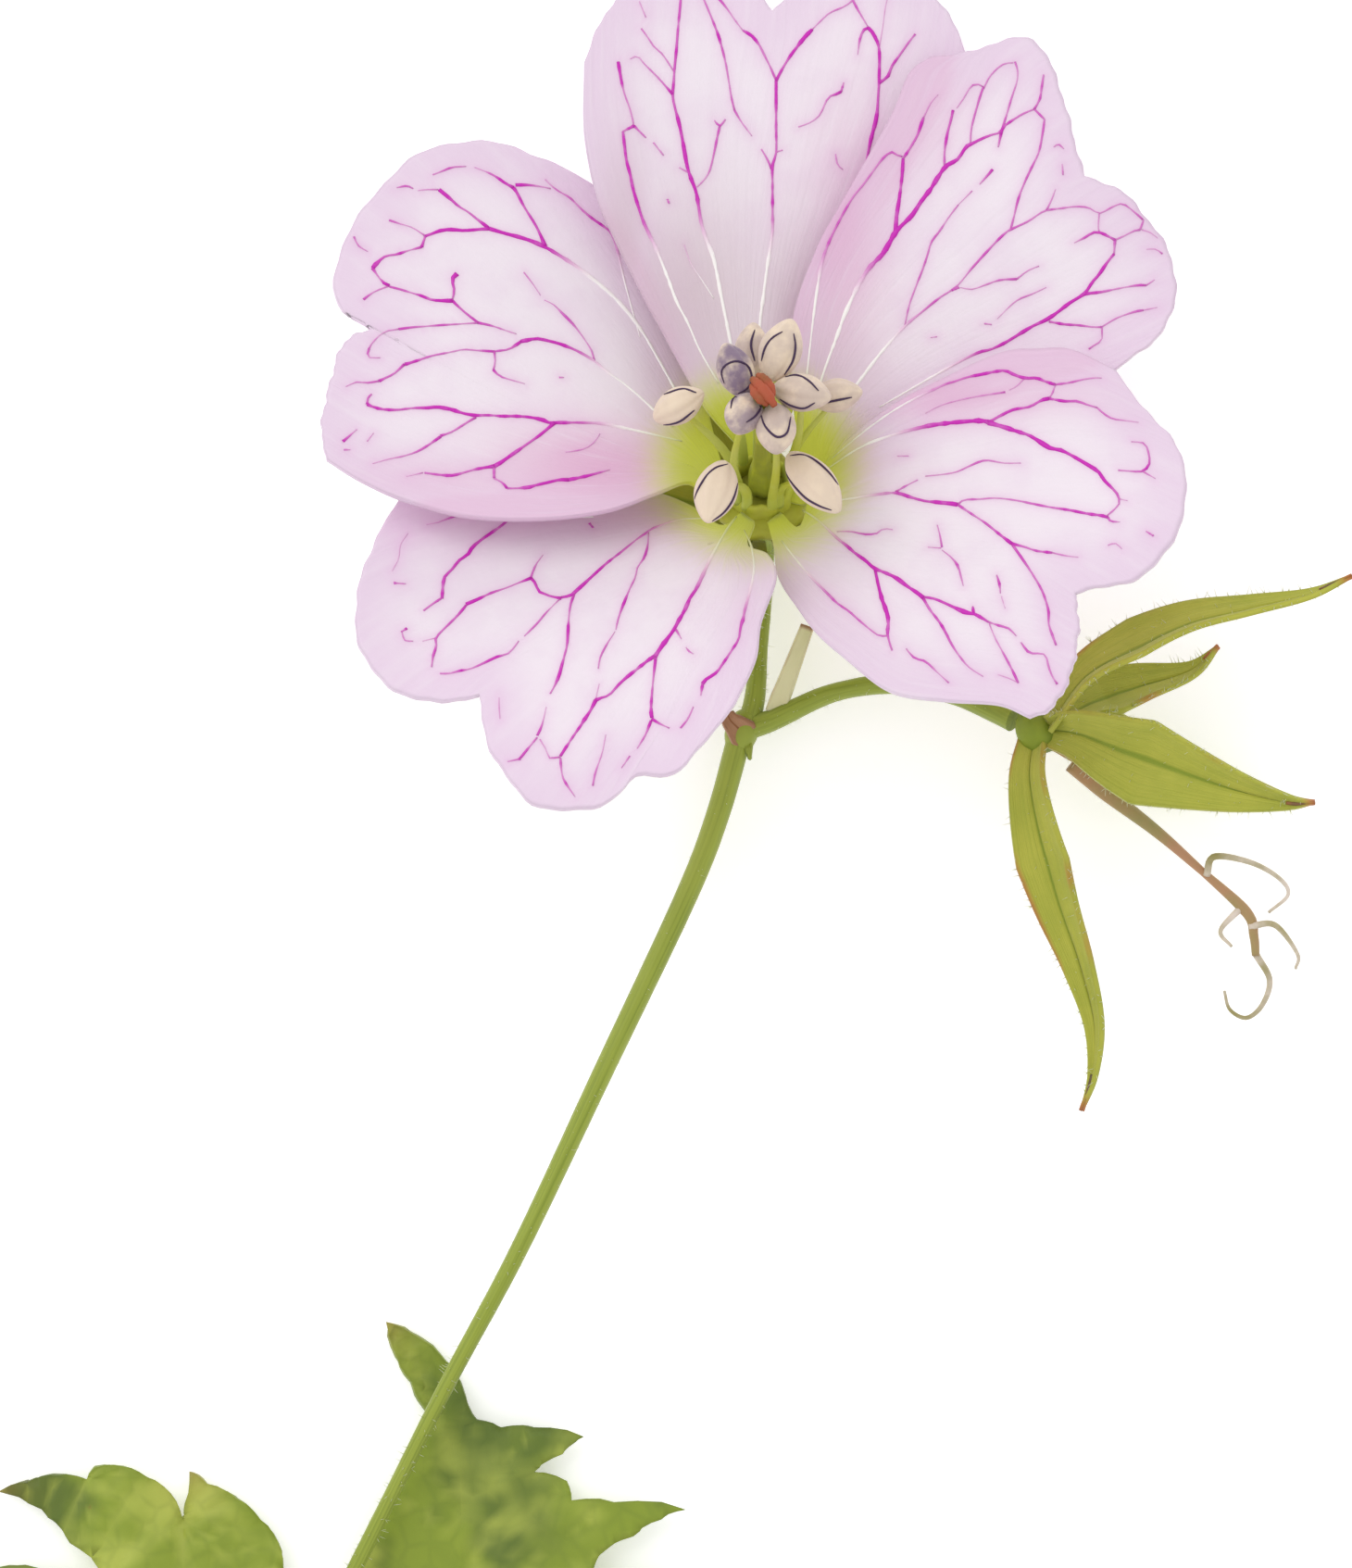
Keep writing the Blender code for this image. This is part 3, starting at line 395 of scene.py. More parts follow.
# Leaves: each lobe's toothed edge in photo pixels, from the notch before it to its tip, then on to
# the next notch. Bent ribs name the lobes whose midrib isn't straight.
LEAVES = {
    "leaf_right": {
        "base": (560, 1880),
        "bent_ribs": {1: [(520, 1720), (488, 1570), (452, 1480)]},
        "petiole": [(352, 1846, 2.15), (405, 1856, 2.3), (490, 1872, 2.1), (560, 1880, 1.75),
                    (590, 1870, 1.6)],
        "lobes": [
            (
                [(520, 1862), (450, 1832), (405, 1800), (372, 1752)],
                [(372, 1752), (382, 1705), (400, 1665)],
            ),
            (
                [(400, 1665), (425, 1615), (450, 1570), (464, 1528), (444, 1492), (429, 1467), (418, 1428)],
                [(418, 1428), (444, 1439), (477, 1464), (503, 1508), (515, 1533), (541, 1541), (576, 1541),
                 (630, 1551), (607, 1569), (576, 1589), (612, 1599), (617, 1620), (663, 1622), (740, 1630),
                 (714, 1640), (684, 1658), (648, 1678), (640, 1700)],
            ),
            (
                [(640, 1700), (690, 1712), (735, 1704), (720, 1728), (790, 1730), (850, 1718), (832, 1752),
                 (880, 1762), (945, 1790)],
                [(945, 1790), (890, 1812), (850, 1830), (880, 1858), (820, 1858), (765, 1850), (735, 1870)],
            ),
            (
                [(735, 1870), (800, 1900), (835, 1935), (815, 1955), (840, 2010), (830, 2090)],
                [(830, 2090), (785, 2055), (750, 2035), (735, 2065), (705, 2020), (680, 1985), (655, 1975)],
            ),
            (
                [(655, 1975), (672, 2030), (690, 2085), (660, 2080), (640, 2120), (600, 2160)],
                [(600, 2160), (585, 2110), (560, 2080), (535, 2095), (530, 2040), (528, 1980), (528, 1900)],
            ),
        ],
    },
    "leaf_left": {
        "base": (175, 1830),
        "bent_ribs": {},
        "petiole": [(275, 1846, 2.15), (256, 1844, 2.3), (225, 1836, 2.1), (175, 1830, 1.75),
                    (155, 1815, 1.6)],
        "lobes": [
            (
                [(205, 1815), (250, 1790), (290, 1750), (306, 1691), (301, 1666), (281, 1640), (255, 1617),
                 (224, 1602), (207, 1589)],
                [(207, 1589), (201, 1622), (196, 1640)],
            ),
            (
                [(196, 1640), (184, 1612), (158, 1594), (133, 1583), (102, 1584), (94, 1597), (61, 1592),
                 (31, 1599), (0, 1610)],
                [(0, 1610), (31, 1622), (51, 1635), (76, 1666), (107, 1692), (112, 1712)],
            ),
            (
                [(112, 1712), (60, 1700), (10, 1690), (-20, 1700), (-60, 1722), (-100, 1760)],
                [(-100, 1760), (-55, 1775), (-40, 1800), (0, 1795), (30, 1800), (62, 1805)],
            ),
            (
                [(62, 1805), (10, 1820), (-45, 1835), (-60, 1865), (-110, 1910)],
                [(-110, 1910), (-60, 1912), (-30, 1935), (0, 1905), (40, 1895), (75, 1890)],
            ),
            (
                [(75, 1890), (40, 1930), (-5, 1965), (0, 2005), (20, 2060)],
                [(20, 2060), (50, 2030), (80, 2035), (95, 1990), (120, 1950), (140, 1930)],
            ),
            (
                [(140, 1930), (135, 1985), (140, 2030), (165, 2075)],
                [(165, 2075), (180, 2030), (205, 1990), (205, 1930), (200, 1850)],
            ),
        ],
    },
}

# Soft patches of painted shade on the petals, pink where two petals overlap and mauve towards the claws: the
# layer, its middle and reach in photo pixels, its strength.
PATCHES = {
    "petal_top": [("mauve_shade", (745, 320), (90, 110), 0.75), ("mauve_shade", (860, 330), (70, 90), 0.6),
                  ("mauve_shade", (672, 260), (34, 110), 0.7), ("overlap_shade", (930, 210), (60, 110), 0.5)],
    "petal_upper_right": [("overlap_shade", (905, 250), (55, 150), 0.75), ("overlap_shade", (985, 120), (50, 70), 0.5),
                          ("mauve_shade", (885, 400), (50, 70), 0.4)],
    "petal_lower_right": [("overlap_shade", (1010, 425), (150, 30), 0.7), ("overlap_shade", (900, 500), (60, 40), 0.45)],
    "petal_lower_left": [("overlap_shade", (700, 560), (140, 30), 0.35), ("overlap_shade", (560, 560), (120, 30), 0.3)],
    "petal_left": [("overlap_shade", (650, 505), (120, 48), 0.95), ("mauve_shade", (730, 420), (50, 80), 0.4),
                   ("overlap_shade", (500, 520), (120, 30), 0.4)],
}

# Lobes of the stigma: photo pixels, each with its height over the style's top.
STIGMA = [
    [(812, 409, -0.1), (818, 414, 0.0), (825, 422, 0.05), (832, 431, 0.0), (837, 439, -0.15)],
    [(818, 405, -0.2), (826, 411, -0.05), (832, 420, -0.1), (834, 428, -0.2)],
    [(812, 416, -0.25), (817, 425, -0.1), (823, 432, -0.1), (829, 437, -0.25)],
]

# A shaded fold of the right leaf, in photo pixels.
LEAF_DARK_FOLD = [(470, 1490), (500, 1545), (530, 1570), (560, 1600), (590, 1660)]

# Veins of each petal: how many of a vein's first points are still white, its widths at even spaces
# along it and its points, both in photo pixels.
VEINS = {}
VEINS["petal_top"] = [
    (7, (2.5, 2.8, 3.2, 4.5, 5.5, 5, 4), [(775, 415), (755, 380), (742, 350), (730, 327), (720, 300),
     (708, 270), (700, 253), (694, 240), (688, 222), (683, 205), (680, 190), (676, 175), (674, 160),
     (672, 143)]),
    (7, (4, 4.6, 4.4, 4.4, 5, 5.8, 5.6, 4, 3), [(797, 410), (789, 375), (783, 345), (778, 320),
     (770, 280), (763, 262), (757, 243), (754, 225), (751, 208), (745, 192), (741, 178), (737, 155),
     (733, 135), (729, 120), (726, 105), (727, 90), (728, 75), (730, 55), (732, 30), (734, 10),
     (736, -15)]),
    (6, (5, 5.2, 4.6, 4, 3.5, 4, 4), [(820, 400), (820, 352), (824, 320), (828, 290), (832, 265),
     (834, 250), (834, 230), (834, 200), (834, 180), (838, 165), (838, 140), (838, 120), (838, 100),
     (838, 88)]),
    (0, (4, 5, 5, 4, 5), [(928, 196), (933, 185), (940, 152), (946, 128), (948, 105), (949, 85),
     (949, 54), (943, 38), (937, 31)]),
    (0, (3, 3, 5), [(672, 143), (678, 140), (684, 137)]),
    (0, (4, 3, 2), [(684, 137), (690, 143), (697, 150)]), (0, (3, 2), [(705, 155), (716, 169)]),
    (0, (2.5, 2, 2, 5), [(684, 137), (680, 120), (673, 100), (669, 80), (667, 68)]),
    (0, (4, 2.4, 1.6), [(726, 103), (710, 85), (695, 70), (688, 62), (680, 65)]),
    (0, (2.4, 2, 3), [(727, 78), (715, 60), (706, 52), (700, 43), (692, 32)]),
    (0, (2, 2, 2.6, 4), [(752, 203), (760, 195), (766, 185), (771, 165), (774, 150), (777, 137)]),
    (0, (2, 4, 2), [(771, 131), (777, 137), (783, 130)]), (0, (3, 2), [(744, 188), (733, 182)]),
    (0, (4, 2), [(833, 183), (828, 172), (822, 162)]),
    (0, (1.2, 3), [(812, 148), (800, 132), (793, 120)]),
    (0, (4, 3, 2.4, 4, 2.4, 3), [(793, 120), (790, 108), (787, 90), (784, 72), (780, 55), (775, 38),
     (768, 20), (763, 8), (757, -6)]),
    (0, (3, 2), [(838, 165), (845, 163)]),
    (0, (4, 3, 4.4, 4), [(838, 88), (832, 74), (824, 58), (820, 50), (812, 40), (802, 34)]),
    (0, (2, 2, 4), [(802, 34), (795, 25), (786, 12), (778, 2), (768, -8)]),
    (0, (4.4, 4, 5, 6), [(838, 88), (845, 75), (853, 62), (862, 50), (870, 40), (877, 33)]),
    (0, (2, 2, 3, 3), [(877, 33), (890, 20), (898, 14), (912, 8), (922, 0), (930, -12)]),
    (0, (2.4, 2.4, 4, 3), [(937, 30), (928, 15), (920, 0), (914, -14)]),
    (0, (6, 4, 2, 1.2), [(938, 31), (932, 34), (928, 45), (926, 60)]),
    (0, (5, 3, 2.6, 3), [(949, 90), (958, 84), (963, 72), (973, 58), (983, 44), (988, 38)]),
    (0, (1.6, 1.2), [(949, 54), (953, 30), (956, 8), (960, -8)]),
    (0, (1.6, 2.4, 2.6, 3.6), [(862, 138), (875, 133), (885, 125), (892, 110), (896, 105), (905, 102),
     (908, 100)]),
    (0, (4, 2), [(908, 100), (911, 90)]), (0, (2.4, 3, 1.6), [(902, 167), (904, 178), (910, 184)]),
    (0, (3.6, 2.6), [(1009, 68), (1010, 80)]),
    (4, (1.8, 1.6, 1), [(770, 323), (755, 300), (745, 285), (738, 265)]),
    (0, (3, 3), [(720, 216), (722, 221)]), (0, (1.2, 1.6), [(690, 3), (697, 20)]),
]
VEINS["petal_upper_right"] = [
    (5, (1.6, 2, 2.6, 4.6, 4, 2.6, 4), [(868, 430), (872, 395), (876, 360), (881, 320), (887, 285),
     (894, 264), (903, 245), (912, 228), (922, 212), (932, 200), (943, 185), (953, 172), (962, 165),
     (968, 168), (974, 170)]),
    (6, (3, 3, 3.4, 6, 6, 7.5, 5, 4.6, 3), [(882, 425), (890, 400), (903, 365), (912, 340), (925, 312),
     (937, 292), (945, 283), (953, 275), (962, 260), (968, 250), (975, 243), (985, 233), (995, 218),
     (1005, 205), (1013, 192), (1022, 180), (1034, 173), (1043, 160), (1048, 157), (1060, 151),
     (1070, 147), (1080, 144), (1085, 137), (1095, 130), (1105, 124), (1117, 119)]),
    (0, (5.4, 4.4, 5), [(967, 252), (968, 235), (971, 215), (974, 190), (975, 172)]),
    (0, (4, 3.6, 4.4), [(975, 172), (983, 160), (990, 148), (994, 137), (997, 128)]),
    (0, (2.4, 1.4), [(997, 128), (1005, 112), (1013, 103)]),
    (0, (3.4, 3, 5), [(1020, 181), (1020, 165), (1023, 145), (1027, 130), (1029, 120)]),
    (0, (3.4, 2.6, 4), [(1048, 156), (1049, 140), (1054, 120), (1060, 100), (1062, 95)]),
    (0, (3, 2, 1.4), [(1062, 95), (1055, 92), (1048, 95), (1040, 108), (1033, 118)]),
    (0, (3, 2, 2.6), [(1062, 97), (1068, 85), (1077, 75), (1085, 70), (1094, 69)]),
    (0, (4, 3, 2, 3), [(1081, 146), (1084, 135), (1088, 122), (1093, 105), (1098, 90), (1099, 78),
     (1096, 68)]),
    (0, (4, 2), [(1081, 146), (1078, 160)]),
    (0, (4, 3, 3), [(1117, 119), (1123, 108), (1125, 95), (1127, 82)]),
    (0, (4, 3), [(1117, 119), (1128, 130)]),
    (0, (3.4, 3.6, 3, 3.4, 3), [(1128, 130), (1126, 145), (1122, 165), (1115, 180), (1107, 197),
     (1100, 215), (1095, 235), (1091, 250)]),
    (4, (5, 5, 3.4, 2.8, 2.8, 3.4, 3.6, 2.4, 2.4, 3), [(905, 440), (921, 421), (950, 383), (977, 353),
     (995, 338), (1015, 322), (1033, 310), (1050, 290), (1070, 268), (1085, 253), (1093, 248),
     (1110, 240), (1122, 232), (1130, 228), (1145, 226), (1160, 224), (1175, 225), (1187, 231),
     (1200, 225), (1212, 221), (1225, 230), (1234, 238)]),
    (0, (3, 2.4, 2.4, 3.4, 2), [(977, 353), (982, 330), (990, 308), (997, 290), (1002, 275),
     (1006, 262), (1015, 250), (1025, 235), (1035, 222)]),
    (0, (1.2, 2), [(1035, 222), (1050, 207)]), (0, (2, 4), [(1058, 200), (1067, 190), (1072, 184)]),
    (0, (2.4, 2), [(1187, 231), (1186, 245), (1187, 252)]),
    (0, (1.4, 3.6, 6, 3.4, 4), [(1160, 263), (1172, 257), (1180, 252), (1188, 252), (1195, 255),
     (1204, 260)]),
    (0, (3.6, 3.4), [(1204, 260), (1203, 275)]),
    (0, (3, 2, 3.6), [(1204, 260), (1215, 255), (1225, 250), (1231, 249)]),
    (0, (3, 2.4), [(1231, 249), (1235, 238)]), (0, (2, 1), [(1233, 249), (1242, 252), (1250, 258)]),
    (0, (1.2, 2.6), [(1238, 270), (1248, 270), (1255, 275)]),
    (0, (3.4, 2, 1), [(1130, 228), (1135, 218), (1140, 205)]),
    (0, (2.6, 1.6), [(1148, 190), (1147, 178)]),
    (0, (1.6, 2.6, 1.6), [(1138, 160), (1143, 157), (1149, 162)]),
    (2, (2, 3, 4, 5, 5, 6, 5, 4), [(950, 440), (1020, 400), (1055, 382), (1070, 378), (1085, 371),
     (1100, 362), (1115, 353), (1130, 346), (1142, 338), (1155, 328), (1165, 322), (1172, 317),
     (1180, 305), (1187, 297), (1195, 285), (1203, 275)]),
    (0, (4.4, 3, 3.4, 3.4), [(1133, 348), (1150, 351), (1165, 352), (1180, 354), (1190, 354)]),
    (0, (2.6, 2, 3), [(1190, 354), (1190, 368), (1183, 373), (1176, 378)]),
    (0, (3, 2, 3.6), [(1190, 354), (1205, 345), (1218, 340), (1228, 337), (1235, 336)]),
    (0, (2, 1), [(1235, 336), (1250, 333)]),
    (0, (5, 2.4, 2.4, 4), [(1172, 318), (1190, 316), (1210, 312), (1228, 309), (1238, 309)]),
    (0, (3, 1.4), [(1238, 309), (1247, 303)]),
    (0, (1.2, 2, 3.8), [(1037, 311), (1050, 313), (1065, 308), (1080, 303), (1098, 302)]),
    (0, (3, 1.6, 2), [(1098, 302), (1110, 293), (1122, 288)]),
    (0, (1, 1.8, 2.6, 1.4), [(1077, 345), (1090, 332), (1100, 324), (1115, 318), (1130, 311)]),
    (0, (3, 2), [(1063, 350), (1071, 351)]), (0, (1.4, 1.8), [(1005, 365), (1012, 364)]),
    (0, (4.6, 3), [(1028, 314), (1036, 311)]),
]
VEINS["petal_lower_right"] = [
    (3, (1.4, 2, 3, 4.6, 4.6, 4, 4), [(900, 495), (935, 465), (975, 438), (1018, 417), (1030, 413),
     (1045, 408), (1060, 405), (1075, 402), (1086, 401), (1095, 405), (1107, 409), (1120, 409),
     (1130, 413), (1140, 416)]),
    (0, (3.4, 2.4, 2), [(1140, 416), (1155, 414), (1168, 411), (1180, 409), (1190, 409)]),
    (0, (2.6, 2.6), [(1140, 416), (1137, 425), (1133, 431)]),
    (0, (2, 1.2), [(1107, 409), (1098, 418), (1090, 422)]),
    (0, (1, 1.4, 2, 3.4), [(1000, 447), (1015, 439), (1035, 433), (1060, 428), (1080, 425), (1086, 424)]),
    (3, (2, 2.4, 3, 5, 6, 7.6), [(893, 508), (930, 483), (965, 470), (1000, 461), (1020, 458),
     (1040, 456), (1060, 455), (1069, 457)]),
    (0, (5, 4.2, 4.2, 5), [(1068, 457), (1080, 450), (1095, 443), (1112, 440), (1125, 433), (1133, 431)]),
    (0, (4.4, 3.6, 3.2), [(1133, 431), (1150, 434), (1163, 434), (1175, 438), (1185, 441)]),
    (0, (3.4, 2, 1), [(1185, 441), (1193, 448), (1202, 453), (1215, 455), (1230, 457)]),
    (0, (7, 5.6, 5.4, 6.4, 4.6, 5.4, 4, 3, 2.6, 3), [(1068, 457), (1085, 462), (1100, 467), (1112, 471),
     (1125, 479), (1135, 485), (1146, 487), (1158, 493), (1170, 500), (1180, 506), (1187, 511),
     (1193, 520), (1200, 527), (1207, 535), (1209, 545), (1202, 553), (1196, 558)]),
    (0, (2, 1), [(1209, 540), (1218, 542)]),
    (3, (1.6, 2, 2.6, 4, 4, 5, 5, 6), [(880, 545), (925, 538), (945, 535), (968, 533), (985, 538),
     (1000, 542), (1010, 543), (1030, 545), (1035, 546)]),
    (0, (3.6, 2.6, 2.6, 3, 3.6, 5), [(1035, 546), (1042, 541), (1060, 540), (1075, 539), (1095, 541),
     (1115, 545), (1135, 549), (1155, 552), (1175, 556), (1190, 558), (1197, 560)]),
    (0, (5, 2, 1), [(1197, 560), (1200, 564), (1210, 565)]), (0, (2, 3.4), [(1238, 575), (1246, 580)]),
    (0, (4, 3, 3.4, 5), [(1035, 546), (1050, 556), (1065, 566), (1080, 578), (1093, 588)]),
    (0, (4.6, 3, 4.6), [(1093, 588), (1108, 592), (1120, 596), (1137, 598)]),
    (0, (3, 2, 1), [(1137, 598), (1150, 601), (1165, 603)]),
    (0, (4.6, 3, 3.6, 3, 4, 3, 4), [(1093, 588), (1105, 605), (1115, 620), (1125, 637), (1130, 650),
     (1133, 662), (1133, 675), (1137, 687), (1141, 698)]),
    (0, (2.4, 4, 2.4, 3.6, 2.4, 3), [(1103, 695), (1112, 706), (1125, 707), (1130, 710), (1133, 722),
     (1137, 732), (1142, 740)]),
    (0, (3.6, 2, 1.6), [(968, 532), (980, 525), (992, 519)]),
    (0, (1.4, 1.8, 3.4, 2, 1.4), [(1000, 515), (1020, 513), (1035, 510), (1050, 503), (1065, 498),
     (1085, 501), (1103, 501)]),
    (0, (1.2, 1.8), [(970, 493), (982, 493)]),
    (0, (1.2, 2, 2, 3.2, 1.4), [(905, 575), (920, 575), (935, 578), (948, 577), (955, 572), (965, 573)]),
    (3, (2.6, 3.4, 4, 5, 5.8, 5.4, 6), [(868, 552), (885, 563), (905, 582), (915, 590), (925, 599),
     (935, 606), (945, 615), (955, 619), (968, 625), (980, 634), (992, 642), (998, 647)]),
    (0, (4.6, 4, 4, 4.4, 6.4, 3), [(946, 617), (949, 632), (953, 648), (958, 662), (960, 672),
     (959, 685), (961, 695), (964, 704)]),
    (0, (5, 4, 4, 6.4, 4), [(998, 646), (1010, 648), (1022, 653), (1035, 659), (1045, 663), (1052, 664),
     (1060, 668), (1068, 673)]),
    (0, (3, 5), [(1051, 656), (1052, 664)]),
    (0, (3.4, 2.6, 4, 1.4), [(1068, 673), (1080, 677), (1090, 680), (1098, 688)]),
    (0, (4.6, 3.6, 3.6, 4.4, 3, 2.6, 1.6), [(998, 648), (1005, 660), (1015, 673), (1022, 685),
     (1028, 697), (1038, 712), (1048, 723), (1062, 732)]),
    (0, (2, 1.6, 2, 4), [(1069, 675), (1075, 690), (1083, 705), (1092, 722), (1100, 739)]),
    (0, (1, 1.8), [(1078, 730), (1090, 734), (1100, 739)]),
    (4, (2, 3, 3.4, 3.6, 2.8, 3.4), [(845, 585), (858, 602), (876, 624), (890, 638), (897, 645),
     (905, 653), (918, 662), (928, 671), (940, 681), (950, 688), (960, 688)]),
    (0, (2, 3, 3.4), [(1013, 568), (1016, 580), (1018, 592)]), (0, (1.2, 2), [(1003, 592), (1017, 593)]),
    (0, (1.2, 1.4, 4, 1.6), [(1018, 595), (1028, 603), (1035, 612), (1038, 622), (1041, 634)]),
    (0, (2, 4, 1.4), [(1077, 622), (1080, 632), (1081, 642)]), (0, (1.2, 1), [(1082, 645), (1086, 658)]),
    (0, (2, 4, 2, 1.6, 2.6), [(979, 702), (988, 712), (1000, 716), (1012, 727), (1025, 739)]),
    (0, (1.6, 2.4, 2.4, 4, 2.4, 3), [(1222, 478), (1236, 480), (1241, 492), (1241, 503), (1234, 510),
     (1222, 510), (1208, 509)]),
    (0, (3, 1.2), [(1234, 510), (1248, 518)]),
    (0, (1.4, 2.4, 1.4), [(1197, 590), (1205, 588), (1212, 594)]),
]
VEINS["petal_lower_left"] = [
    (1, (3, 4, 4, 5, 6.4, 4, 4.6, 5.4, 4, 5.4), [(640, 560), (562, 559), (550, 562), (540, 570),
     (530, 577), (520, 584), (510, 592), (505, 600), (495, 607), (488, 616), (480, 624), (478, 633),
     (477, 648)]),
    (0, (4, 2.4, 3), [(477, 647), (465, 655), (457, 661)]),
    (0, (4, 3.6, 2, 1), [(508, 556), (495, 558), (480, 563), (472, 566), (460, 568)]),
    (0, (1, 1.2, 1), [(440, 578), (432, 590), (430, 605), (423, 618)]),
    (0, (4, 1.6), [(425, 631), (438, 632)]), (0, (3, 4), [(433, 684), (439, 680)]),
    (0, (1.4, 3, 1.4), [(434, 685), (437, 693), (446, 694)]),
    (2, (1.6, 2, 2.6, 3, 3.4, 3, 3.6, 4, 5.6), [(770, 562), (735, 563), (706, 572), (697, 578),
     (688, 584), (678, 592), (668, 600), (655, 610), (645, 619), (633, 630), (622, 640), (616, 645),
     (606, 647)]),
    (0, (5, 3, 5, 3, 5), [(606, 648), (595, 646), (585, 642), (581, 640), (578, 632), (573, 626)]),
    (0, (4, 2, 1), [(573, 625), (578, 612), (586, 601)]),
    (0, (4.4, 3, 2.4, 3, 5.4), [(573, 626), (560, 631), (545, 637), (530, 642), (515, 649), (503, 654)]),
    (0, (4.4, 3, 3, 4, 3, 4, 2.4), [(503, 655), (495, 665), (485, 675), (473, 687), (470, 692),
     (471, 700), (468, 708), (466, 722)]),
    (0, (2, 1), [(472, 690), (456, 694)]),
    (0, (2.4, 1.6, 3.6, 1.6), [(604, 649), (590, 663), (580, 675), (566, 689)]),
    (0, (2, 4.8, 3, 3, 4, 2.4), [(560, 694), (555, 701), (548, 708), (537, 711), (522, 718), (508, 724),
     (497, 726), (485, 729), (475, 729)]),
    (0, (4.6, 3.4, 3, 4.4, 3, 4.6, 3), [(620, 643), (616, 655), (614, 670), (613, 690), (612, 700),
     (608, 715), (604, 730), (600, 740), (594, 751)]),
    (0, (1.2, 1.4, 4), [(590, 765), (585, 785), (580, 796)]),
    (0, (2.4, 2.4, 5), [(580, 798), (570, 810), (562, 820)]), (0, (4, 1.4), [(562, 821), (548, 824)]),
    (0, (2, 1.4, 2.4, 3), [(583, 800), (590, 812), (593, 820), (605, 819)]),
    (0, (2.4, 2.2, 3.6, 2.2, 2.2, 4.2, 2), [(700, 577), (699, 592), (695, 605), (688, 615), (686, 625),
     (679, 640), (671, 660), (667, 672), (665, 682)]),
    (0, (1.4, 2, 4, 2), [(664, 684), (655, 698), (648, 712), (646, 724)]),
    (0, (1, 2), [(647, 740), (643, 757)]),
    (4, (3, 3, 3.4, 5.4, 5.8, 6.4, 5.6, 7.4), [(795, 560), (786, 573), (775, 592), (763, 615),
     (752, 638), (745, 648), (740, 660), (733, 672), (727, 683), (718, 695), (711, 705), (707, 711)]),
    (0, (6, 4.6, 5.4, 4, 5), [(707, 710), (697, 717), (687, 725), (678, 732), (668, 741), (658, 752),
     (650, 755), (643, 758)]),
    (0, (5, 4.4, 5.6, 3.4, 3.6, 5.4), [(643, 758), (638, 768), (632, 777), (627, 785), (620, 795),
     (612, 807), (605, 818)]),
    (0, (4, 2.2, 3.6, 2.4, 1.4), [(605, 820), (606, 832), (608, 842), (614, 852), (621, 862)]),
    (0, (4, 1.6), [(729, 680), (736, 692)]), (0, (1.6, 3.2, 1.6), [(741, 701), (744, 705), (749, 708)]),
    (0, (4.6, 3, 3.4, 3, 5.6), [(708, 712), (706, 730), (704, 750), (703, 768), (704, 777)]),
    (0, (4.4, 3, 2), [(704, 778), (712, 783), (723, 788)]),
    (0, (4.4, 3, 2.6, 2), [(703, 780), (697, 795), (688, 810)]), (0, (3, 1.6), [(680, 818), (671, 831)]),
    (5, (2, 2.2, 2, 3, 4.2, 5, 4, 4, 5.6), [(804, 575), (812, 592), (815, 615), (811, 638), (805, 660),
     (803, 670), (800, 680), (798, 692), (790, 705), (782, 717), (774, 728), (762, 736), (759, 740)]),
    (0, (5, 2), [(759, 740), (757, 753)]), (0, (2, 3, 4), [(749, 765), (743, 778), (735, 788)]),
    (0, (1, 1.6, 1.6, 3.2), [(654, 795), (650, 815), (643, 835), (640, 850)]),
    (0, (4, 3), [(636, 567), (640, 572)]), (0, (1, 2, 1), [(539, 755), (539, 765), (540, 778)]),
]
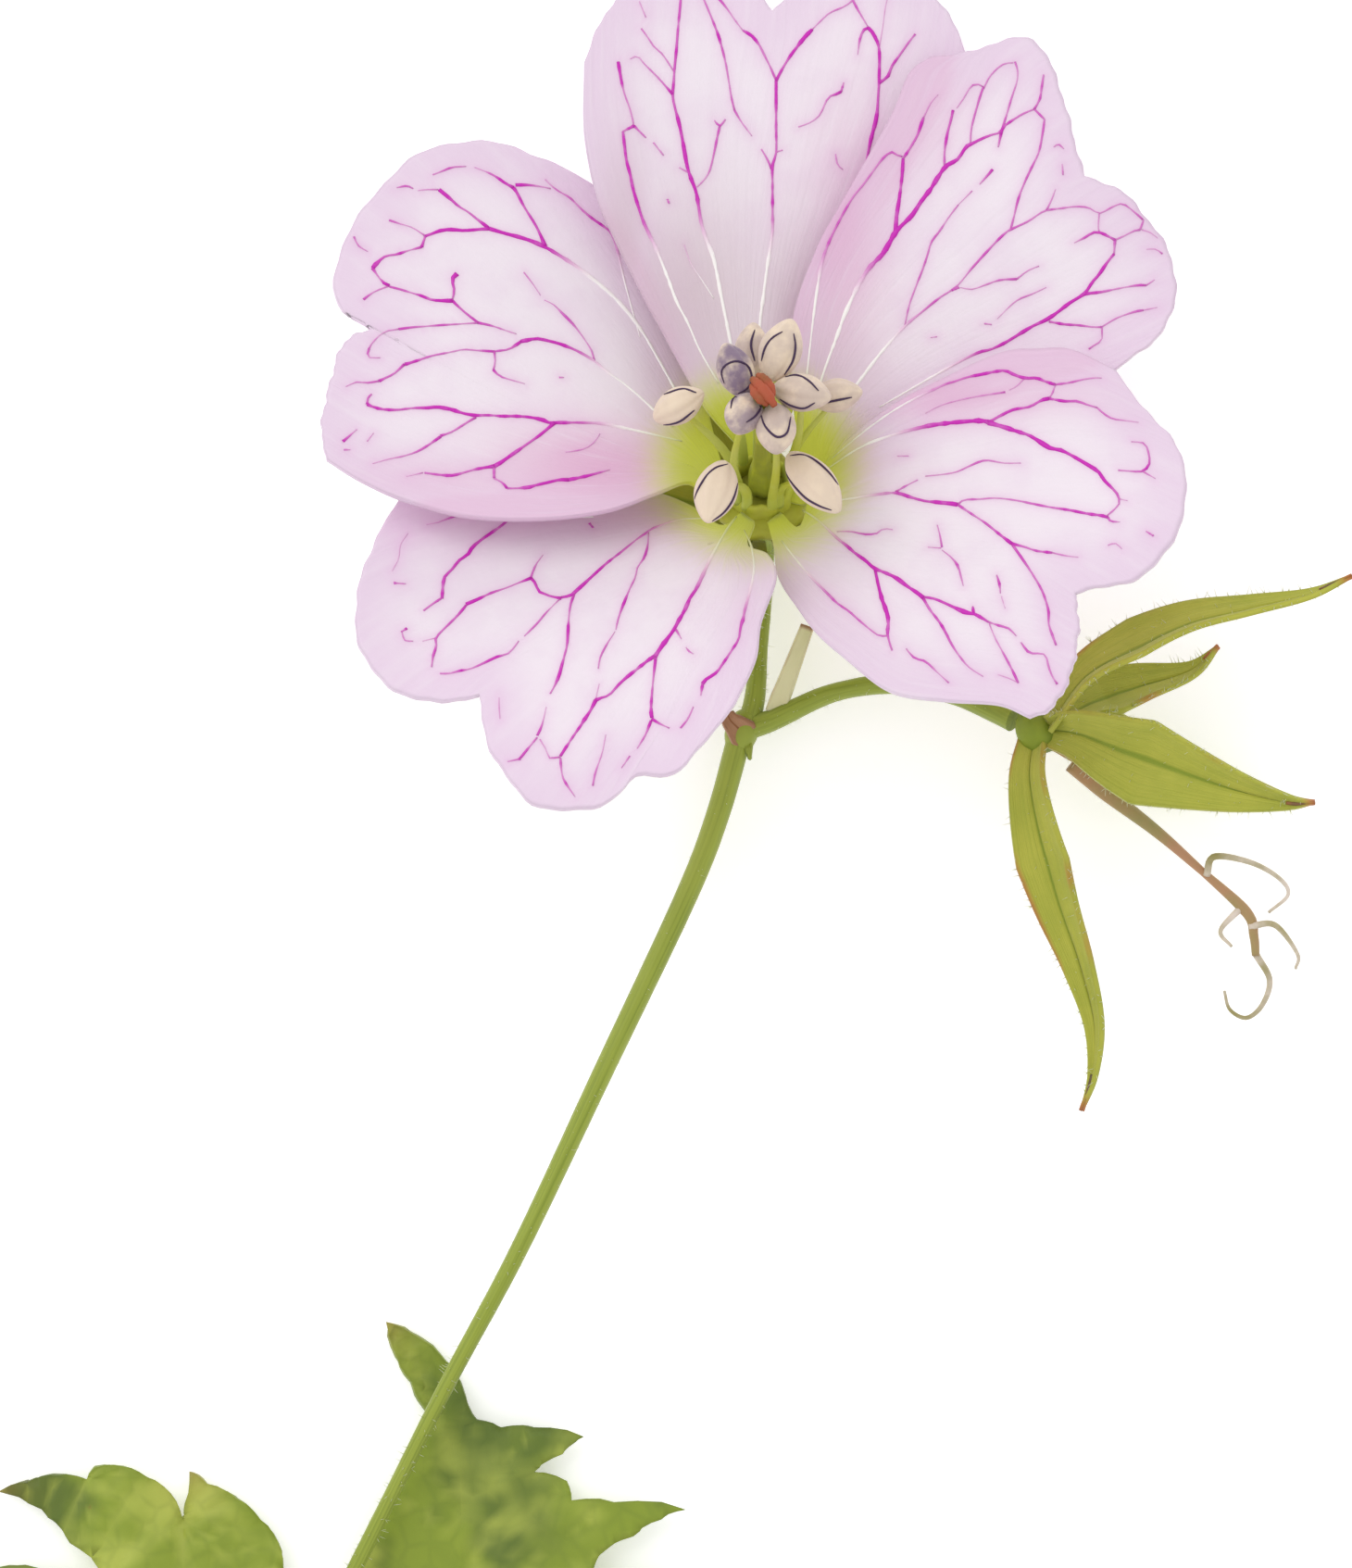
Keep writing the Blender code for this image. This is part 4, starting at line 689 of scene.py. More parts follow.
VEINS["petal_left"] = [
    (7, (3, 3.6, 4.2, 4.6, 4.6, 5, 5.6, 5.2, 7), [(745, 450), (730, 425), (705, 380), (690, 355),
     (672, 332), (655, 315), (625, 291), (597, 273), (588, 268), (575, 262), (560, 257), (548, 254),
     (528, 248)]),
    (0, (7, 4.4, 4.4, 6.4, 4, 4.4), [(528, 248), (515, 249), (500, 250), (488, 249), (476, 250),
     (465, 254), (459, 256)]),
    (0, (4, 3.6, 5.4), [(459, 256), (457, 262), (455, 268)]),
    (0, (4.4, 2.6, 2.6, 4.6, 3, 6.6), [(455, 268), (440, 272), (428, 276), (416, 278), (407, 285),
     (402, 291)]),
    (0, (5, 2.8, 3, 5.6), [(402, 291), (408, 300), (414, 307), (420, 310)]),
    (0, (4.6, 3, 3, 3.6, 4, 6.6), [(420, 311), (432, 314), (445, 318), (455, 321), (465, 325),
     (475, 326), (488, 326)]),
    (0, (4, 3, 4), [(488, 326), (495, 333), (503, 340), (512, 347), (516, 350)]),
    (0, (4, 2.6, 2.6, 1.2), [(516, 350), (530, 353), (545, 358), (557, 362)]),
    (0, (2.4, 2.4, 2.6, 6.4), [(488, 325), (490, 315), (488, 303), (493, 297)]),
    (0, (3.6, 2, 2, 4.2, 2, 5), [(516, 350), (500, 351), (485, 352), (470, 353), (458, 354), (445, 355),
     (430, 357)]),
    (0, (3, 1.6, 2.6), [(430, 357), (415, 360), (403, 370), (398, 378)]),
    (0, (3.2, 2.4, 1.4), [(398, 378), (397, 387), (410, 388)]),
    (0, (4, 1.8, 3.6), [(420, 310), (403, 317), (392, 325)]),
    (0, (5, 3.4, 3, 3, 6), [(527, 247), (515, 238), (505, 230), (495, 224), (485, 215), (474, 206)]),
    (0, (3, 1.2), [(473, 206), (460, 206), (451, 207)]),
    (0, (1.2, 4, 2), [(428, 204), (439, 202), (446, 205)]),
    (0, (2.6, 1.6, 2, 3), [(459, 256), (445, 247), (432, 243), (420, 239)]),
    (0, (3.4, 2, 1.2), [(382, 257), (387, 267), (397, 273)]),
    (0, (5.4, 4.2, 4.2, 4, 5), [(588, 267), (583, 255), (577, 243), (570, 232), (564, 222), (558, 210),
     (554, 204)]),
    (0, (6, 4, 2.4, 1.2), [(554, 204), (545, 199), (535, 192), (525, 187), (512, 182)]),
    (0, (1.6, 3.8, 2, 2.2), [(503, 181), (488, 182), (475, 187), (467, 190)]),
    (0, (5, 3, 2), [(556, 201), (570, 201), (585, 203), (594, 205)]),
    (2, (1.2, 1.4, 2, 2.6, 3.6, 4.2, 3.6, 2), [(690, 365), (675, 310), (662, 258), (650, 245),
     (640, 238), (628, 228), (615, 215), (603, 208), (595, 202), (588, 195)]),
    (6, (3, 3, 3.4, 3.4, 3.6, 2.8, 3.2, 6.6), [(725, 462), (708, 447), (690, 430), (672, 415),
     (655, 403), (641, 391), (622, 380), (605, 373), (590, 369), (578, 367), (562, 370)]),
    (0, (5.6, 3, 4), [(562, 370), (550, 378), (540, 380), (533, 381)]),
    (0, (4, 2.2, 2, 2.4, 5), [(533, 381), (515, 380), (500, 379), (485, 382), (465, 386), (450, 391),
     (437, 395)]),
    (0, (4.4, 3, 4.4), [(436, 395), (425, 405), (415, 410), (409, 413)]),
    (0, (4, 2.4, 2, 1.4), [(409, 413), (395, 415), (385, 414), (373, 419)]),
    (0, (4, 2.6, 4), [(533, 381), (534, 392), (532, 401)]),
    (0, (4, 3.4, 2, 1), [(532, 401), (538, 407), (545, 410), (566, 416)]),
    (0, (4, 2, 2, 4, 1.4), [(641, 391), (638, 380), (632, 370), (625, 360), (617, 350), (605, 338),
     (597, 330), (587, 325)]),
    (0, (1, 1.6, 2.4), [(583, 320), (575, 308), (565, 295)]), (0, (2.6, 2), [(603, 409), (608, 409)]),
    (4, (2, 2.6, 3, 4, 5, 5.4, 5.6, 5, 4, 6.4, 3.8, 6, 3.4, 5.4), [(735, 478), (705, 471), (670, 463),
     (648, 459), (625, 458), (610, 458), (600, 458), (592, 458), (585, 455), (570, 452), (555, 451),
     (540, 451), (530, 450), (520, 450), (512, 450), (500, 448), (488, 444), (478, 442), (470, 441),
     (460, 442), (448, 442), (438, 443), (430, 444), (420, 444), (410, 443), (400, 440), (396, 438)]),
    (0, (4, 2.4), [(396, 438), (397, 431), (401, 427)]),
    (0, (6.4, 4.8, 4.6, 4.2, 7), [(598, 458), (590, 465), (580, 473), (570, 480), (560, 487),
     (550, 494), (540, 501), (533, 505)]),
    (0, (6, 3.4, 3.4, 5, 3, 3.4), [(533, 505), (520, 507), (510, 509), (500, 512), (487, 515),
     (472, 514), (458, 512)]),
    (0, (2, 1), [(456, 512), (438, 516)]), (0, (6, 4, 4), [(533, 505), (533, 512), (533, 518)]),
    (0, (3.6, 2.8, 5), [(533, 518), (542, 523), (547, 529)]),
    (0, (4.6, 3.6, 5.8, 3.8, 7), [(547, 529), (558, 529), (570, 528), (577, 526), (590, 523),
     (603, 520), (613, 520)]),
    (0, (7, 5.6, 4.4, 1.6), [(613, 520), (628, 517), (640, 514), (658, 509)]),
    (0, (5, 3, 2.6, 4.4), [(513, 452), (500, 460), (487, 468), (475, 472)]),
    (0, (4, 2.6, 2.4, 2, 1.2), [(475, 473), (462, 482), (450, 489), (435, 494), (420, 497), (402, 502)]),
    (0, (1.8, 2.4, 4.2), [(385, 465), (377, 472), (370, 478)]), (0, (2.6, 1.6), [(371, 487), (378, 487)]),
    (0, (1.4, 1.8), [(403, 469), (396, 478)]),
    (0, (1.4, 1.8, 2.6, 1.2), [(610, 490), (628, 487), (640, 480), (647, 470)]),
]


def on_table(px, py, height):
    """The real place of a photo pixel that is seen at this height over the table."""
    span = PIXEL * (1 - height / EYE_HEIGHT)
    x = (px - EYE_PIXEL[0]) * span - MIDDLE[0]
    y = (EYE_PIXEL[1] - py) * span - MIDDLE[1]
    return Vector((x, y, height))


def ramp(value, start, end):
    share = min(max((value - start) / (end - start), 0.0), 1.0)
    return share * share * (3 - 2 * share)


def bell(value, width):
    """1 where the value is 0, sinking smoothly to 0 on both sides."""
    return math.exp(-((value / width) ** 2))


def smooth(points, count):
    """A curve through the points, as count + 1 points evenly spaced along it."""
    ends = [points[0] * 2 - points[1], *points, points[-1] * 2 - points[-2]]
    dense = []
    for i in range(1, len(ends) - 2):
        a, b, c, d = ends[i - 1 : i + 3]
        for step in range(CURVE_STEPS):
            t = step / CURVE_STEPS
            point = 2 * b + (c - a) * t
            point += (2 * a - 5 * b + 4 * c - d) * t * t
            point += (3 * b - a - 3 * c + d) * t**3
            dense.append(0.5 * point)
    dense.append(points[-1].copy())
    lengths = [0.0]
    for a, b in zip(dense, dense[1:]):
        lengths.append(lengths[-1] + (b - a).length)
    even = []
    i = 0
    for step in range(count + 1):
        want = lengths[-1] * step / count
        while i < len(lengths) - 2 and lengths[i + 1] < want:
            i += 1
        share = (want - lengths[i]) / max(lengths[i + 1] - lengths[i], 1e-9)
        even.append(dense[i].lerp(dense[i + 1], min(share, 1.0)))
    return even


# The open bloom's axis and the two directions square to it.
AXIS = Vector((0, math.sin(BLOOM_TILT), math.cos(BLOOM_TILT)))
ACROSS = Vector((1, 0, 0))
UPWARD = Vector((0, math.cos(BLOOM_TILT), -math.sin(BLOOM_TILT)))
BLOOM_FOOT = on_table(*BLOOM_PIXEL, BLOOM_HEIGHT)


def in_bloom(radius, turn, along):
    """A point at this distance from the bloom's axis, turned from +X, and this far along the axis."""
    side = ACROSS * math.cos(turn) + UPWARD * math.sin(turn)
    return BLOOM_FOOT + side * radius + AXIS * along


def funnel(radius):
    """How far along the axis the petals' funnel has risen at this distance from it."""
    rise = LIMB_SLOPE * radius + FUNNEL_DEPTH * (1 - math.exp(-radius / FUNNEL_RADIUS))
    return rise - TIP_DROOP * (radius / PETAL_LENGTH) ** 4


def petal_point(px, py, turn):
    """The point of the petal turned this way that is seen at a photo pixel."""
    height = BLOOM_HEIGHT
    for _ in range(SIGHT_STEPS):
        point = on_table(px, py, height)
        out = point - BLOOM_FOOT
        side = out.dot(UPWARD)
        radius = math.hypot(out.x, side)
        off = math.remainder(math.atan2(side, out.x) - turn, 2 * math.pi)
        lift = PETAL_TWIST * off / PETAL_HALF_TURN * ramp(radius, TWIST_START, TWIST_FULL)
        lift += PETAL_WAVE * math.sin(9 * off + 2 * turn) * ramp(radius, 5, PETAL_LENGTH)
        along = funnel(radius) + lift
        height = BLOOM_HEIGHT + (along - out.y * AXIS.y) / AXIS.z
    return point


def along_axis_point(px, py, along):
    """The point seen at a photo pixel that lies this far along the bloom's axis."""
    height = BLOOM_HEIGHT
    for _ in range(AXIS_SIGHT_STEPS):
        out = on_table(px, py, height) - BLOOM_FOOT
        height = BLOOM_HEIGHT + (along - out.y * AXIS.y) / AXIS.z
    return on_table(px, py, height)


def srgb(red, green, blue):
    """A colour as seen on screen, 0 to 255, as the linear values that Blender keeps."""
    linear = []
    for value in (red, green, blue):
        share = value / 255
        linear.append(share / 12.92 if share < 0.04045 else ((share + 0.055) / 1.055) ** 2.4)
    return tuple(linear)


def colour(name, description, red, green, blue):
    return bpy.props.FloatVectorProperty(
        name=name, description=description, default=srgb(red, green, blue), subtype="COLOR", min=0, max=1
    )


def number(name, description, value, **more):
    return bpy.props.FloatProperty(name=name, description=description, default=value, **more)


def length(name, description, millimetres):
    return number(name, description, millimetres * METRES, unit="LENGTH", precision=5)


def group(kind, name, description):
    return bpy.props.PointerProperty(type=kind, name=name, description=description)


class PetalSettings(bpy.types.PropertyGroup):
    """Sizes and colours of the petals."""

    thickness: length("Thickness", "Thickness of a petal", 0.2)
    vein: number("Vein width", "Scale of every vein's width", 1.14)
    centre: colour("Centre", "Middle of a petal", 236, 225, 234)
    rim: colour("Rim", "Outer margin of a petal", 227, 205, 225)
    # Pink is painted shade where two petals overlap, for light that passes through both layers.
    overlap_shade: colour("Pink", "Soft pink where two petals overlap", 219, 166, 201)
    # Mauve is painted shade towards the claws of the upper petals.
    mauve_shade: colour("Mauve", "Towards the claws of the upper petals", 200, 176, 186)
    throat: colour("Throat", "The claws, deep in the bloom", 196, 202, 66)
    halo: colour("Halo", "Along the veins", 224, 176, 216)
    ink: colour("Vein", "Veins of the blade", 200, 34, 180)
    pale_vein: colour("Pale vein", "Veins near the claw", 250, 246, 244)


class StamenSettings(bpy.types.PropertyGroup):
    """Sizes and colours of the stamens and the pistil."""

    filament: length("Filament", "Radius of a filament at its foot", 0.24)
    line: length("Slit line", "Width of the dark line on an anther", 0.1)
    anther: colour("Anther", "An anther's skin", 230, 210, 186)
    grey: colour("Grey anther", "The greyest anthers", 132, 112, 132)
    slit: colour("Slit", "The dark lines of an anther", 64, 42, 74)
    filament_tone: colour("Filament colour", "A filament", 198, 206, 104)
    style_tone: colour("Style", "The style column", 160, 164, 66)
    stigma: colour("Stigma", "The stigma's lobes", 176, 84, 56)


class GreenSettings(bpy.types.PropertyGroup):
    """Colours of the stem, the sepals, the leaves and the spent bloom."""

    stem: colour("Stem", "Skin of the stem", 150, 164, 58)
    stem_shade: colour("Stem shade", "Ridges of the stem", 126, 142, 44)
    sepal: colour("Sepal", "Blade of a sepal", 184, 184, 68)
    sepal_rib: colour("Sepal rib", "Middle rib of a sepal", 134, 150, 36)
    sepal_edge: colour("Sepal edge", "Dry edge of a sepal", 186, 112, 58)
    leaf: colour("Leaf", "Blade of a leaf", 136, 154, 46)
    leaf_dark: colour("Leaf dark", "Shaded cells between the leaf's veins", 92, 112, 38)
    leaf_light: colour("Leaf light", "Lit cells between the leaf's veins", 180, 190, 82)
    leaf_spot: colour("Leaf spot", "Rusty spots on a leaf", 138, 84, 44)
    bract: colour("Bract", "Dry bracts and stipules", 184, 138, 104)
    pale_bract: colour("Pale bract", "The narrow bract at the fork", 238, 234, 186)
    awn: colour("Awn", "Bristle at a sepal's tip", 98, 84, 60)
    spent: colour("Spent style", "Style of the spent bloom", 156, 146, 92)
    curl: colour("Curl", "Curled threads of the spent bloom", 228, 214, 202)
    hair: colour("Hair", "Hairs", 226, 230, 196)


class StageSettings(bpy.types.PropertyGroup):
    """Floor, light and camera."""

    floor: colour("Floor", "The floor", 255, 255, 255)
    sky: number("Sky", "Strength of the white surroundings", 0.86)
    glow: number("Glow", "How much the floor shines of itself", 0.3)
    lamp: number("Lamp", "Power of the soft light", 1.1, unit="POWER")
    lens: number("Lens", "Focal length", 300.0, unit="CAMERA")


class GeraniumSettings(bpy.types.PropertyGroup):
    """Everything that a user would change."""

    petals: group(PetalSettings, "Petals", "Petals and veins")
    stamens: group(StamenSettings, "Stamens", "Stamens and pistil")
    greens: group(GreenSettings, "Greens", "Stem, sepals and leaves")
    stage: group(StageSettings, "Stage", "Floor, light and camera")


def settings():
    return bpy.context.scene.geranium


def start_material(name, roughness, sheen=0.0):
    """A material with one Principled shader, and its tree."""
    material = bpy.data.materials.new(name)
    material.use_nodes = True
    tree = material.node_tree
    shader = tree.nodes["Principled BSDF"]
    shader.inputs["Roughness"].default_value = roughness
    shader.inputs["Specular IOR Level"].default_value = 0.35
    shader.inputs["Sheen Weight"].default_value = sheen
    return material, tree, shader


def add(tree, kind, settings=None, inputs=None):
    """A node with its settings, its sockets set to values or joined to other sockets."""
    made = tree.nodes.new(kind)
    for name, value in (settings or {}).items():
        setattr(made, name, value)
    for name, value in (inputs or {}).items():
        if isinstance(value, bpy.types.NodeSocket):
            tree.links.new(value, made.inputs[name])
        else:
            made.inputs[name].default_value = value
    return made


def solid_colour(value):
    return (*value, 1.0)


def blend(tree, factor, low, high, mode="MIX"):
    """Blends two colours, each a socket or a plain colour."""
    sides = {}
    for key, value in ((0, factor), (6, low), (7, high)):
        if not isinstance(value, bpy.types.NodeSocket) and key != 0:
            value = solid_colour(value)
        sides[key] = value
    mixed = add(tree, "ShaderNodeMix", {"data_type": "RGBA", "blend_type": mode}, sides)
    return mixed.outputs[2]


def fade(tree, value, start, end):
    """0 up to start, 1 past end, and smooth between."""
    made = add(
        tree,
        "ShaderNodeMapRange",
        {"interpolation_type": "SMOOTHSTEP"},
        {"Value": value, "From Min": start, "From Max": end},
    )
    return made.outputs[0]


def maths(tree, operation, first, second=0.0):
    return add(tree, "ShaderNodeMath", {"operation": operation}, {0: first, 1: second}).outputs[0]


def times(tree, first, second):
    return maths(tree, "MULTIPLY", first, second)


def part(tree, value, start, end, most):
    """A fade that stops at this share of 1."""
    return times(tree, fade(tree, value, start, end), most)


def coats(tree, base, *layers):
    """Lays (share, colour) pairs over a colour, one after the other."""
    for share, tone in layers:
        base = blend(tree, share, base, tone)
    return base


def attribute(tree, name):
    return add(tree, "ShaderNodeAttribute", {"attribute_name": name}).outputs["Fac"]


def coordinates(tree, which, stretch=(1, 1, 1)):
    """Object or UV coordinates, stretched by a Mapping node."""
    source = add(tree, "ShaderNodeTexCoord").outputs[which]
    return add(tree, "ShaderNodeMapping", None, {"Vector": source, "Scale": stretch}).outputs[0]


def noise(tree, vector, scale, detail=3.0, roughness=0.55):
    inputs = {"Vector": vector, "Scale": scale, "Detail": detail, "Roughness": roughness}
    return add(tree, "ShaderNodeTexNoise", None, inputs).outputs["Fac"]


def relief(tree, shader, height, strength, distance):
    """Bumps of this many millimetres, joined to the shader's normal, after any that are there."""
    before = shader.inputs["Normal"].links
    inputs = {"Height": height, "Strength": strength, "Distance": distance * METRES}
    if before:
        inputs["Normal"] = before[0].from_socket
    bump = add(tree, "ShaderNodeBump", None, inputs)
    tree.links.new(bump.outputs[0], shader.inputs["Normal"])


def petal_material(tones):
    material, tree, shader = start_material("petal_skin", 0.62, sheen=0.25)
    place = coordinates(tree, "Object")
    streaks = noise(tree, coordinates(tree, "UV", (26, 2.2, 1)), 1.6, 4)
    clouds = noise(tree, place, 420, 3)
    base = blend(tree, fade(tree, attribute(tree, "edge"), 0.0, 3.2), tones.rim, tones.centre)
    # Pink where petals overlap is painted shade, for light that passes through two layers.
    overlap_shade = times(tree, attribute(tree, "overlap_shade"), fade(tree, streaks, 0.05, 0.5))
    share = throat_share(tree, streaks)
    base = coats(
        tree,
        base,
        (part(tree, clouds, 0.42, 0.68, 0.3), tones.rim),
        (part(tree, streaks, 0.45, 0.75, 0.3), tones.centre),
        (times(tree, attribute(tree, "vein"), 0.5), tones.halo),
        (times(tree, overlap_shade, 0.88), tones.overlap_shade),
        # Mauve patches are painted shade.
        (times(tree, attribute(tree, "mauve_shade"), 0.85), tones.mauve_shade),
        (share, tones.throat),
    )
    tree.links.new(base, shader.inputs["Base Color"])
    # The throat's faint emission is a painted glow that lightens the shaded throat.
    shader.inputs["Emission Color"].default_value = solid_colour(tones.throat)
    tree.links.new(times(tree, share, THROAT_GLOW), shader.inputs["Emission Strength"])
    grain = noise(tree, place, 5200, 2)
    relief(tree, shader, grain, 0.35, 0.02)
    relief(tree, shader, streaks, 0.45, 0.09)
    relief(tree, shader, clouds, 0.4, 0.12)
    return material


def throat_share(tree, streaks):
    """How far a place lies in the throat, with a streaky border."""
    uneven = maths(tree, "ADD", attribute(tree, "throat"), times(tree, streaks, 0.3))
    return fade(tree, uneven, 0.2, 1.0)


def vein_material(tones):
    material, tree, shader = start_material("petal_vein", 0.5)
    place = coordinates(tree, "Object")
    broken = noise(tree, place, 1500, 3)
    dark = blend(tree, part(tree, broken, 0.5, 0.75, 0.25), tones.ink, tones.halo)
    shown = blend(tree, attribute(tree, "ink"), tones.pale_vein, dark)
    shown = blend(tree, times(tree, throat_share(tree, broken), 0.75), shown, tones.throat)
    tree.links.new(shown, shader.inputs["Base Color"])
    relief(tree, shader, broken, 0.3, 0.03)
    return material


def plain_material(name, tone, second, scale, roughness=0.5, bump=0.05):
    """A skin of two tones in soft patches, with fine relief."""
    material, tree, shader = start_material(name, roughness)
    place = coordinates(tree, "Object")
    patches = noise(tree, place, scale, 4)
    base = blend(tree, fade(tree, patches, 0.35, 0.7), tone, second)
    tree.links.new(base, shader.inputs["Base Color"])
    relief(tree, shader, noise(tree, place, scale * 4, 3), 0.5, bump)
    return material


def ribbed_material(name, blade, rib, edge, edge_start=0.72, roughness=0.5):
    """A sepal's or bract's skin: rib down the middle, fine lengthwise veins and a dry edge."""
    material, tree, shader = start_material(name, roughness, sheen=0.15)
    across = add(tree, "ShaderNodeSeparateXYZ", None, {0: add(tree, "ShaderNodeTexCoord").outputs["UV"]})
    aside = maths(tree, "ABSOLUTE", maths(tree, "SUBTRACT", across.outputs[0], 0.5))
    along = across.outputs[1]
    place = coordinates(tree, "Object")
    patches = noise(tree, place, 380, 4)
    strands = noise(tree, coordinates(tree, "UV", (34, 1.4, 1)), 1.5, 3)
    rough_edge = maths(tree, "ADD", times(tree, aside, 2), times(tree, patches, 0.25))
    dry_parts = part(tree, noise(tree, place, 210, 2), 0.5, 0.66, 0.8)
    dry = times(tree, fade(tree, rough_edge, edge_start + 0.1, edge_start + 0.32), dry_parts)
    base = coats(
        tree,
        blade,
        (part(tree, patches, 0.3, 0.75, 0.4), rib),
        (part(tree, strands, 0.45, 0.7, 0.35), rib),
        (fade(tree, aside, 0.075, 0.015), rib),
        (dry, edge),
        (fade(tree, along, 0.94, 1.0), edge),
    )
    tree.links.new(base, shader.inputs["Base Color"])
    relief(tree, shader, strands, 0.6, 0.06)
    relief(tree, shader, noise(tree, place, 3200, 2), 0.4, 0.03)
    return material


def leaf_material(tones):
    material, tree, shader = start_material("leaf_skin", 0.55, sheen=0.1)
    place = coordinates(tree, "Object")
    patches = noise(tree, place, 140, 3)
    lit = noise(tree, coordinates(tree, "Object", (1, 1.5, 1)), 180, 2)
    cells = add(
        tree, "ShaderNodeTexVoronoi", {"feature": "DISTANCE_TO_EDGE"}, {"Vector": place, "Scale": 900.0}
    ).outputs["Distance"]
    rust = noise(tree, place, 240, 5, 0.7)
    base = coats(
        tree,
        tones.leaf,
        (fade(tree, patches, 0.52, 0.4), tones.leaf_dark),
        (part(tree, lit, 0.5, 0.66, 0.85), tones.leaf_light),
        (part(tree, cells, 0.16, 0.0, 0.14), tones.leaf_dark),
        (times(tree, attribute(tree, "rib"), 0.75), tones.leaf_light),
        (times(tree, attribute(tree, "fold"), 0.8), tones.leaf_dark),
        (part(tree, rust, 0.64, 0.74, 0.75), tones.leaf_spot),
        (times(tree, attribute(tree, "tooth"), 0.5), tones.leaf_spot),
    )
    tree.links.new(base, shader.inputs["Base Color"])
    relief(tree, shader, cells, 0.3, 0.07)
    relief(tree, shader, noise(tree, place, 2600, 3), 0.4, 0.04)
    return material


def finish_piece(bm, name, material, replaces=(), sharp=None, thickness=None):
    """The mesh as a finished piece at the origin, in metres."""
    for vertex in bm.verts:
        vertex.co *= METRES
    mesh = bpy.data.meshes.new(name)
    bm.to_mesh(mesh)
    bm.free()
    mesh.shade_smooth()
    if sharp:
        mesh.set_sharp_from_angle(angle=math.radians(sharp))
    mesh.materials.append(material)
    piece = bpy.data.objects.new(name, mesh)
    bpy.context.scene.collection.objects.link(piece)
    if thickness:
        solid = piece.modifiers.new("thickness", "SOLIDIFY")
        solid.thickness = thickness * METRES
        solid.offset = 0
    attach(piece, "root")
    if replaces:
        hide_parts(*replaces)
    return piece


def sheet(bm, columns, rows, place):
    """A grid whose points are moved by place(u, v), u across and v along, both 0 to 1."""
    uv = bm.loops.layers.uv.verify()
    grid = bmesh.ops.create_grid(bm, x_segments=columns, y_segments=rows, size=0.5)["verts"]
    spots = {}
    for vertex in grid:
        spots[vertex] = (vertex.co.x + 0.5, vertex.co.y + 0.5)
        vertex.co = place(*spots[vertex])
    for face in {face for vertex in grid for face in vertex.link_faces}:
        for loop in face.loops:
            loop[uv].uv = spots[loop.vert]
    return spots


def rolled(bm, points, widths, depths=None, ups=None, sides=8, marks=()):
    """A closed tube along the points, flattened where depths differ from widths, its ends capped.

    marks holds pairs of a vertex layer and its values, one for each point.
    """
    last = len(points) - 1
    depths = depths or widths
    frames = []
    up = Vector((0.1, 0.2, 1))
    for i, point in enumerate(points):
        ahead = (points[min(i + 1, last)] - points[max(i - 1, 0)]).normalized()
        if ups:
            up = ups[i]
        side = ahead.cross(up).normalized()
        up = side.cross(ahead).normalized()
        frames.append((point, side * widths[i], up * depths[i]))

    def place(u, v):
        ring = round(v * (last + 2)) - 1
        point, side, lift = frames[min(max(ring, 0), last)]
        if ring < 0 or ring > last:
            return point.copy()
        turn = 2 * math.pi * u
        return point + side * math.cos(turn) + lift * math.sin(turn)

    spots = sheet(bm, sides, last + 2, place)
    for vertex, (_, v) in spots.items():
        ring = min(max(round(v * (last + 2)) - 1, 0), last)
        for layer, values in marks:
            vertex[layer] = values[ring]
    faces = list({face for vertex in spots for face in vertex.link_faces})
    bmesh.ops.remove_doubles(bm, verts=list(spots), dist=RING_WELD)
    bmesh.ops.recalc_face_normals(bm, faces=[face for face in faces if face.is_valid])


def round_stem(bm, path, count, sides=20):
    """A round stem through photo places, each with its height and radius."""
    places = [on_table(px, py, height) for px, py, height, _ in path]
    points = smooth(places, count)
    radii = [r.x for r in smooth([Vector((entry[3], 0, 0)) for entry in path], RADIUS_STEPS)]
    rolled(bm, points, [radii[round(i * RADIUS_STEPS / count)] for i in range(count + 1)], sides=sides)
    return points


def egg(bm, middle, size, ahead, up, shape=None, segments=28, rings=18):
    """An egg along ahead. shape(angle, share) scales it about that line, angle 0 facing up."""
    made = bmesh.ops.create_uvsphere(bm, u_segments=segments, v_segments=rings, radius=0.5)["verts"]
    ahead = ahead.normalized()
    side = ahead.cross(up).normalized()
    up = side.cross(ahead)
    for vertex in made:
        spot = vertex.co.copy()
        scale = shape(math.atan2(spot.x, spot.y), 2 * spot.z) if shape else 1.0
        aside = (side * spot.x * size[1] + up * spot.y * size[2]) * scale
        vertex.co = middle + ahead * (spot.z * size[0]) + aside
    return made


def hair_piece(name, skin_name, roots, size):
    """A piece of fine hairs from (point, direction) roots, each a thin three-sided cone."""
    bm = bmesh.new()
    reach, thickness = size
    for point, direction in roots:
        long = reach * random.uniform(*HAIR_RANGE)
        lean = Vector([random.gauss(0, HAIR_LEAN) for _ in range(3)])
        turn = (direction + lean).to_track_quat("Z", "Y").to_matrix().to_4x4()
        matrix = Matrix.Translation(point) @ turn @ Matrix.Translation((0, 0, long / 2 - HAIR_SUNK))
        bmesh.ops.create_cone(
            bm,
            cap_ends=True,
            segments=3,
            radius1=thickness,
            radius2=thickness * 0.25,
            depth=long,
            matrix=matrix,
        )
    tone = settings().greens.hair
    finish_piece(bm, name, plain_material(skin_name, tone, tone, 500))


